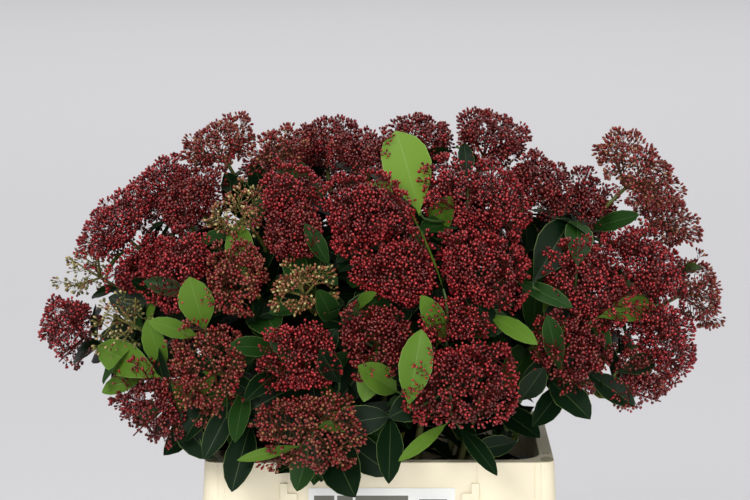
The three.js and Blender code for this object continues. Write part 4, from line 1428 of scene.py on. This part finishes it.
def rounded_loop(bm, half_x, half_y, corner, height):
    """A rectangle with round corners as a loop of edges at one height, in millimetres."""
    verts = bmesh.ops.create_grid(bm, x_segments=1, y_segments=1, size=1)["verts"]
    bmesh.ops.scale(bm, vec=(half_x * MM, half_y * MM, 1), verts=verts)
    bmesh.ops.translate(bm, vec=(0, 0, height * MM), verts=verts)
    made = bmesh.ops.bevel(bm, geom=verts, offset=corner * MM, offset_type="OFFSET",
                           segments=ROUND.corner_segments, profile=0.5, affect="VERTICES",
                           material=-1)
    face = made["verts"][0].link_faces[0]
    edges = list(face.edges)
    bmesh.ops.delete(bm, geom=[face], context="FACES_ONLY")
    return edges


def make_tub(bm):
    """The shell, up the outside, round the skirt, over the rim and down the inside."""
    c = CONTAINER
    body = c.ledge - c.wall
    # Each level's inset, height and corner radius, and whether its edges are rounded.
    levels = [
        (body + c.taper + c.foot_bevel, 0, c.corner, True),
        (body + c.taper, c.foot_bevel, c.corner, False),
        (body, c.height - c.wall, c.corner, False),
        (c.wall, c.height - c.wall, c.corner, False),
        (c.wall - c.flare, c.height - c.skirt, c.corner, True),
        (-c.flare, c.height - c.skirt, c.corner, True),
        (0, c.height, c.corner, True),
        (c.ledge, c.height, c.mouth_corner, True),
        (c.ledge, c.height - c.wall, c.mouth_corner, True),
        (c.ledge + c.taper, c.floor, c.corner, False),
    ]
    loops = [rounded_loop(bm, c.half_width - inset, c.half_depth - inset, corner, height)
             for inset, height, corner, _ in levels]
    for lower, upper in zip(loops, loops[1:]):
        bmesh.ops.bridge_loops(bm, edges=lower + upper)
    for end in (loops[0], loops[-1]):
        bmesh.ops.contextual_create(bm, geom=end)
    bmesh.ops.recalc_face_normals(bm, faces=bm.faces[:])
    rounded = [edge for loop, level in zip(loops, levels) if level[3]
               for edge in loop if edge.is_valid]
    bmesh.ops.bevel(bm, geom=rounded, offset=ROUND.rim * MM, offset_type="OFFSET",
                    segments=ROUND.rim_segments, profile=0.5, affect="EDGES", material=-1,
                    clamp_overlap=True)


def bar_on_skirt(bm, width, proud, height, x, below, clear, rounding=ROUND.bar):
    """A bar against the skirt's front, at a height below the rim measured down its slope."""
    verts = bmesh.ops.create_cube(bm, size=1)["verts"]
    bmesh.ops.scale(bm, vec=(width * MM, proud * MM, height * MM), verts=verts)
    bmesh.ops.translate(bm, verts=verts, vec=(x * MM, (-clear - proud / 2) * MM,
                                              (-below - height / 2) * MM))
    bmesh.ops.rotate(bm, verts=verts, cent=(0, 0, 0),
                     matrix=Matrix.Rotation(-SKIRT_LEAN, 3, "X"))
    bmesh.ops.translate(bm, verts=verts,
                        vec=(0, -CONTAINER.half_depth * MM, CONTAINER.height * MM))
    if rounding:
        edges = list({edge for vert in verts for edge in vert.link_edges})
        bmesh.ops.bevel(bm, geom=edges, offset=rounding * MM, offset_type="OFFSET",
                        segments=ROUND.bar_segments, profile=0.5, affect="EDGES", material=-1)


def make_holder(bm):
    """Two rails with lips, and the seat with its own lip, that hold the card."""
    h = HOLDER
    top = CARD.below - h.above
    seat = CARD.below + CARD.height + SEAT_GAP
    bottom = seat + h.ledge
    for side in (-1, 1):
        bar_on_skirt(bm, h.rail, h.proud + h.sunk, bottom - top, side * (h.inside + h.rail / 2),
                     top, -h.sunk)
        bar_on_skirt(bm, h.reach + h.sunk, h.lip, bottom - top - h.lip_below,
                     side * (h.inside - (h.reach - h.sunk) / 2), top + h.lip_below,
                     h.proud - h.lip)
    span = 2 * (h.inside + h.sunk)
    bar_on_skirt(bm, span, h.proud + h.sunk, h.ledge, 0, seat, -h.sunk)
    bar_on_skirt(bm, span, h.lip, h.lip_height, 0, bottom - h.lip_height, h.proud - h.lip)


# Oval discs on the rim's corners, coloured darker as painted shade of the corner tops, and pairs of
# small flat dark discs beside them, as the painted shade inside small holes.
CAP = SimpleNamespace(width=14, length=28, thickness=0.4, x=182.2, y=130, segments=24)
HOLE = SimpleNamespace(radius=0.9, x=182.5, apart=4, y=97)


def disc_on_rim(bm, width, length, x, y, finish):
    """A thin oval that lies on the rim."""
    made = bmesh.ops.create_cone(bm, cap_ends=True, segments=CAP.segments, radius1=0.5,
                                 radius2=0.5, depth=1)["verts"]
    bmesh.ops.scale(bm, vec=(width * MM, length * MM, CAP.thickness * MM), verts=made)
    bmesh.ops.translate(bm, verts=made, vec=(x * MM, y * MM,
                                             (CONTAINER.height + CAP.thickness / 2) * MM))
    for face in {face for vert in made for face in vert.link_faces}:
        face.material_index = finish


def make_caps(bm):
    """The darker oval discs and the small dark hole discs of the rim's corners, both painted shade.
    """
    for side, end in product((-1, 1), (-1, 1)):
        # The ovals take the darker plastic and the hole discs the dark hole colour: painted shade.
        disc_on_rim(bm, CAP.width, CAP.length, side * CAP.x, end * CAP.y, 1)
        for step in (-0.5, 0.5):
            disc_on_rim(bm, 2 * HOLE.radius, 2 * HOLE.radius,
                        side * HOLE.x + step * HOLE.apart, end * HOLE.y, 2)


RIB = SimpleNamespace(proud=0.7, sunk=0.6, top=3, rounding=0.25)
# How far each rib stands from the middle, and its width.
RIBS = ((175.5, 1.3), (168.5, 0.8), (106, 0.8))


def make_ribs(bm):
    """Slim upright ribs that edge the corner posts and the front panel."""
    for side, (place, width) in product((-1, 1), RIBS):
        bar_on_skirt(bm, width, RIB.proud + RIB.sunk, CONTAINER.skirt - 2 * RIB.top,
                     side * place, RIB.top, -RIB.sunk, RIB.rounding)


# ---- Settings -----------------------------------------------------------------------------------

def colour_setting(name, description, default):
    """A colour property."""
    return bpy.props.FloatVectorProperty(name=name, description=description, subtype="COLOR",
                                         size=3, min=0, max=1, default=default)


def share_setting(name, description, default):
    """A property from 0 to 1."""
    return bpy.props.FloatProperty(name=name, description=description, subtype="FACTOR",
                                   min=0, max=1, default=default)


class ContainerSettings(bpy.types.PropertyGroup):
    """The container and its card."""
    colour: colour_setting("Plastic", "Colour of the container", srgb(236, 226, 197))
    roughness: share_setting("Roughness", "Roughness of the plastic", 0.46)
    # The corner caps' colour is painted shade on the rim's corner tops.
    cap: colour_setting("Corner caps", "Colour of the rim's corner caps", srgb(176, 170, 140))
    # The holes are flat discs; their dark colour is painted shade.
    hole: colour_setting("Holes", "Colour inside the rim's small holes", srgb(70, 62, 48))
    card: colour_setting("Card", "Colour of the blank label card", srgb(231, 232, 228))
    block: colour_setting("Card blocks", "Colour of the card's plain blocks", srgb(99, 98, 88))


class PlantSettings(bpy.types.PropertyGroup):
    """Stems, twigs and leaves."""
    bark: colour_setting("Bark", "Green of the stems", srgb(80, 88, 34))
    bark_fleck: colour_setting("Bark flecks", "Brown on the stems", srgb(88, 68, 40))
    stalk: colour_setting("Stalks", "Green of the sprays' stalks", srgb(78, 84, 32))
    ruddy: colour_setting("Ruddy twigs", "Twigs under crimson buds", srgb(86, 22, 16))
    brown: colour_setting("Brown twigs", "Twigs under rusty buds", srgb(84, 48, 28))
    green: colour_setting("Green twigs", "Twigs under pale buds", srgb(112, 104, 56))
    # The dark tone is for old leaves, and also the painted shade of leaves in the shade.
    leaf_dark: colour_setting("Dark leaves", "Old leaves", srgb(9, 30, 11))
    leaf_mid: colour_setting("Middle leaves", "Most leaves", srgb(28, 58, 18))
    leaf_light: colour_setting("Light leaves", "Younger leaves", srgb(80, 112, 34))
    leaf_pale: colour_setting("Pale leaves", "Youngest leaves", srgb(100, 132, 42))
    rib: colour_setting("Leaf edges", "Pale edge and midrib of the leaves", srgb(140, 164, 92))
    rib_share: share_setting("Midrib", "How pale the midribs are", 0.12)
    edge_share: share_setting("Edge", "How pale the leaf edges are", 0.4)


class BudSettings(bpy.types.PropertyGroup):
    """The buds' sizes and colours."""
    width: bpy.props.FloatProperty(name="Bud width", description="Width of a bud",
                                   unit="LENGTH", subtype="DISTANCE", min=0.001, max=0.008,
                                   default=BUD.width * MM)
    crimson: colour_setting("Crimson", "Most red buds", srgb(138, 20, 25))
    ruby: colour_setting("Ruby", "Bright red buds", srgb(168, 42, 47))
    dusk: colour_setting("Dusk", "Dark red buds", srgb(84, 10, 11))
    wine: colour_setting("Wine", "Wine red buds", srgb(108, 22, 21))
    rust: colour_setting("Rust", "Brownish buds", srgb(124, 56, 42))
    tan: colour_setting("Tan", "Tan buds", srgb(144, 92, 58))
    cream: colour_setting("Cream", "Cream buds", srgb(182, 164, 110))
    olive: colour_setting("Olive", "Greenish buds", srgb(112, 108, 50))


class StageSettings(bpy.types.PropertyGroup):
    """Floor, lights and camera."""
    floor: colour_setting("Floor", "Colour of the plain floor", srgb(208, 207, 210))
    key: bpy.props.FloatProperty(name="Key light", description="Power of the main softbox",
                                 unit="POWER", min=0, default=64)
    lens: bpy.props.FloatProperty(name="Lens", description="Focal length on a 36 mm sensor",
                                  min=20, max=400, default=158.3)


# ---- Operators ----------------------------------------------------------------------------------

class MakeContainer(bpy.types.Operator):
    """Makes the cream container with its ribs and card holder"""
    bl_idname = "skimmia.container"
    bl_label = "Container"

    def execute(self, context):
        bm = bmesh.new()
        make_tub(bm)
        make_holder(bm)
        make_ribs(bm)
        make_caps(bm)
        settings = context.scene.skimmia_container
        mesh = mesh_of(bm, "container_shell",
                       [plastic_finish("cream_plastic", settings.colour, settings.roughness),
                        # The corner ovals and hole discs take painted shade.
                        plastic_finish("dull_plastic", settings.cap, roughness=0.7),
                        plain_finish("hole_shade", settings.hole, roughness=0.8)])
        finish_piece(mesh, "container_shell", ["container"])
        return {"FINISHED"}


# Where the card's plain blocks are, in millimetres from its left and its top.
CARD_BLOCKS = ((6, 28, 8, 76), (31, 48, 8, 76), (51, 108, 8, 76), (120, 150, 12, 17),
               (120, 150, 24, 26), (120, 144, 31, 33), (120, 150, 38, 40), (120, 138, 60, 72))
FACES_FRONT = -0.5  # A face whose normal's Y is below this is on the card's front.


class MakeCard(bpy.types.Operator):
    """Makes the blank label card in its holder"""
    bl_idname = "skimmia.card"
    bl_label = "Label card"

    def execute(self, context):
        settings = context.scene.skimmia_container
        bm = bmesh.new()
        bar_on_skirt(bm, CARD.width, CARD.thickness, CARD.height, CARD.offset, CARD.below,
                     SEAT_GAP, rounding=0)
        left = (CARD.offset - CARD.width / 2) * MM
        top = (CONTAINER.height - CARD.below) * MM
        columns = sorted({x for block in CARD_BLOCKS for x in block[:2]})
        rows = sorted({y for block in CARD_BLOCKS for y in block[2:]})
        cuts = [((left + across * MM, 0, 0), (1, 0, 0)) for across in columns]
        cuts += [((0, 0, top - below * MM), (0, 0, 1)) for below in rows]
        for place, square in cuts:
            bmesh.ops.bisect_plane(bm, geom=bm.verts[:] + bm.edges[:] + bm.faces[:],
                                   plane_co=place, plane_no=square)
        for face in bm.faces:
            middle = face.calc_center_median()
            across, below = (middle.x - left) / MM, (top - middle.z) / MM
            for x0, x1, y0, y1 in CARD_BLOCKS:
                if face.normal.y < FACES_FRONT and x0 < across < x1 and y0 < below < y1:
                    face.material_index = 1
        mesh = mesh_of(bm, "label_sheet", [paper_finish("white_card", settings.card, fleck=0.05),
                                           paper_finish("grey_block", settings.block, fleck=0.12)])
        finish_piece(mesh, "label_sheet", ["label_card"])
        return {"FINISHED"}


class MakeStems(bpy.types.Operator):
    """Makes the stems with their bark's relief"""
    bl_idname = "skimmia.stems"
    bl_label = "Stems"

    def execute(self, context):
        heap, stems = Heap(), bunch().stems
        for number, stem in enumerate(stems):
            add_stem(heap, number, stem, np.random.default_rng(SEEDS.stems + number))
        mesh = heap.mesh("stems", range(len(stems)), [bark_finish(context.scene.skimmia_plant)])
        finish_piece(mesh, "stems", [numbered("stem", i) for i in range(len(stems))])
        return {"FINISHED"}


def add_pieces(heap, name, numbers, materials):
    """Joins a heap's shapes into as many pieces as the limit on triangles asks for."""
    runs = heap.shares(numbers)
    for index, run in enumerate(runs):
        full = f"{name}_{index + 1}" if len(runs) > 1 else name
        finish_piece(heap.mesh(full, run, materials), full,
                     [numbered("spray", number) for number in run])


class MakeTwigs(bpy.types.Operator):
    """Makes the sprays' stalks, twigs and pedicels"""
    bl_idname = "skimmia.twigs"
    bl_label = "Twigs"

    def execute(self, context):
        settings, heap, sprays = context.scene.skimmia_plant, Heap(), bunch().sprays
        for number, spray in enumerate(sprays):
            add_twigs(heap, number, spray)
        materials = [plain_finish(name, getattr(settings, colour), roughness, coat)
                     for colour, name, roughness, coat in TWIG_FINISHES]
        add_pieces(heap, "twigs", range(len(sprays)), materials)
        return {"FINISHED"}


class MakeLeaves(bpy.types.Operator):
    """Makes the leaves"""
    bl_idname = "skimmia.leaves"
    bl_label = "Leaves"

    def execute(self, context):
        settings, heap, sprays = context.scene.skimmia_plant, Heap(), bunch().sprays
        for number, spray in enumerate(sprays):
            add_leaves(heap, number, spray, np.random.default_rng(SEEDS.leaves + number))
        tones = {name: np.array(getattr(settings, f"leaf_{name}")) for name in LEAF_TONES}
        materials = [plain_finish(f"leaf_{name}", tone, roughness=0.48, gloss=0.13)
                     for name, tone in tones.items()]
        for part, share in (("rib", settings.rib_share), ("edge", settings.edge_share)):
            materials += [plain_finish(f"leaf_{part}_{name}",
                                       mixed(tone, np.array(settings.rib), share),
                                       roughness=0.5, gloss=0.28) for name, tone in tones.items()]
        add_pieces(heap, "leaves", range(len(sprays)), materials)
        return {"FINISHED"}


class MakeBuds(bpy.types.Operator):
    """Makes the buds, in pieces by the sprays' tints"""
    bl_idname = "skimmia.buds"
    bl_label = "Buds"

    def execute(self, context):
        settings, heap, sprays = context.scene.skimmia_buds, Heap(), bunch().sprays
        for number, spray in enumerate(sprays):
            add_buds(heap, number, spray, np.random.default_rng(SEEDS.buds + number),
                     settings.width / MM)
        materials = []
        for name in BUD_COLOURS:
            colour = tuple(getattr(settings, name))
            # Each bud colour gets a darker base and a lighter tip, the tip partly a painted
            # highlight.
            base = shade(colour, BUD_BASE_SHADE)
            materials += [plain_finish(f"bud_{name}", base, roughness=0.45),
                          plain_finish(f"bud_tip_{name}", colour, roughness=0.3, coat=0.25,
                                       gloss=0.45)]
        for tint in DEALS:
            numbers = [i for i, spray in enumerate(sprays) if spray.tint == tint]
            add_pieces(heap, f"buds_{tint}", numbers, materials)
        return {"FINISHED"}


def aimed(location, target):
    """The turn that points -Z of an object from a place to a target."""
    return (Vector(target) - Vector(location)).to_track_quat("-Z", "Y").to_euler()


def add_softbox(name, location, target, size, power):
    """A square area light aimed at a point."""
    data = bpy.data.lights.new(name, "AREA")
    data.size, data.energy = size, power
    lamp = bpy.data.objects.new(name, data)
    lamp.location, lamp.rotation_euler = location, aimed(location, target)
    lamp.visible_camera = False
    bpy.context.scene.collection.objects.link(lamp)


# The floor reaches far enough, in metres, to fill the picture behind the crown.
FLOOR = SimpleNamespace(reach=16, roughness=0.9, grain=60, relief=(0.0004, 0.2))
ROOM_LIGHT = 0.3
# The camera's place in metres, its pitch below the level in degrees, the width of its sensor in
# millimetres, and how far it sees.
CAMERA = SimpleNamespace(place=(-0.0048, -3.645, 1.0846), pitch=8.324, sensor=36, sight=60)
# Each softbox: its name, place, target and side in metres, and its power as a share of the key's.
SOFTBOXES = (
    ("key_softbox", (-1.1, -2.4, 2.1), (0, 0, 0.5), 1.1, 0.88),
    ("front_softbox", (0.3, -3.2, 0.6), (0, 0, 0.3), 2.2, 0.78),
    ("fill_softbox", (2.3, -1.6, 1.5), (0, 0, 0.5), 1.6, 0.36),
    ("top_softbox", (0.2, 0.5, 2.6), (0, 0, 0.5), 1.5, 0.1),
    ("floor_softbox", (0, 8, 7), (0, 8.01, 0), 15, 14.0),
)


class MakeStage(bpy.types.Operator):
    """Sets the plain floor, the soft lights and the camera"""
    bl_idname = "skimmia.stage"
    bl_label = "Stage"

    def execute(self, context):
        settings, scene = context.scene.skimmia_stage, context.scene
        bm = bmesh.new()
        bmesh.ops.create_grid(bm, x_segments=1, y_segments=1, size=FLOOR.reach)
        finish = Finish("floor_paper", tuple(settings.floor), roughness=FLOOR.roughness)
        finish.relief(finish.noise(FLOOR.grain, detail=3), *FLOOR.relief)
        floor = bpy.data.objects.new("floor", mesh_of(bm, "floor", [finish.material]))
        scene.collection.objects.link(floor)

        world = bpy.data.worlds.new("soft_room")
        world.use_nodes = True
        glow = world.node_tree.nodes["Background"].inputs
        glow["Color"].default_value, glow["Strength"].default_value = (1, 1, 1, 1), ROOM_LIGHT
        scene.world = world
        for name, place, target, size, share in SOFTBOXES:
            add_softbox(name, place, target, size, settings.key * share)

        camera = bpy.data.cameras.new("camera")
        camera.lens, camera.sensor_width = settings.lens, CAMERA.sensor
        camera.clip_end = CAMERA.sight
        eye = bpy.data.objects.new("camera", camera)
        eye.location = CAMERA.place
        eye.rotation_euler = (math.radians(90 - CAMERA.pitch), 0, 0)
        scene.collection.objects.link(eye)
        scene.camera = eye
        scene.view_settings.view_transform = "Standard"
        return {"FINISHED"}


class SKIMMIA_PT_panel(bpy.types.Panel):
    """Lists the pieces that the container of skimmia is made of"""
    bl_label = "Skimmia"
    bl_idname = "SKIMMIA_PT_panel"
    bl_space_type = "VIEW_3D"
    bl_region_type = "UI"
    bl_category = "Skimmia"

    def draw(self, context):
        for operator in OPERATORS:
            self.layout.operator(operator.bl_idname)
        for group in SETTINGS:
            box = self.layout.box()
            for name in SETTINGS[group].__annotations__:
                box.prop(getattr(context.scene, group), name)


SETTINGS = {
    "skimmia_container": ContainerSettings,
    "skimmia_plant": PlantSettings,
    "skimmia_buds": BudSettings,
    "skimmia_stage": StageSettings,
}
OPERATORS = (MakeContainer, MakeCard, MakeStems, MakeTwigs, MakeLeaves, MakeBuds, MakeStage)


def register():
    for kind in (*SETTINGS.values(), *OPERATORS, SKIMMIA_PT_panel):
        bpy.utils.register_class(kind)
    for name, kind in SETTINGS.items():
        setattr(bpy.types.Scene, name, bpy.props.PointerProperty(type=kind))


def unregister():
    for name in SETTINGS:
        delattr(bpy.types.Scene, name)
    for kind in reversed((*SETTINGS.values(), *OPERATORS, SKIMMIA_PT_panel)):
        bpy.utils.unregister_class(kind)


def main():
    """Makes every piece and the stage."""
    register()
    bpy.ops.skimmia.container()
    bpy.ops.skimmia.card()
    bpy.ops.skimmia.stems()
    bpy.ops.skimmia.twigs()
    bpy.ops.skimmia.leaves()
    bpy.ops.skimmia.buds()
    bpy.ops.skimmia.stage()


if __name__ == "__main__":
    main()
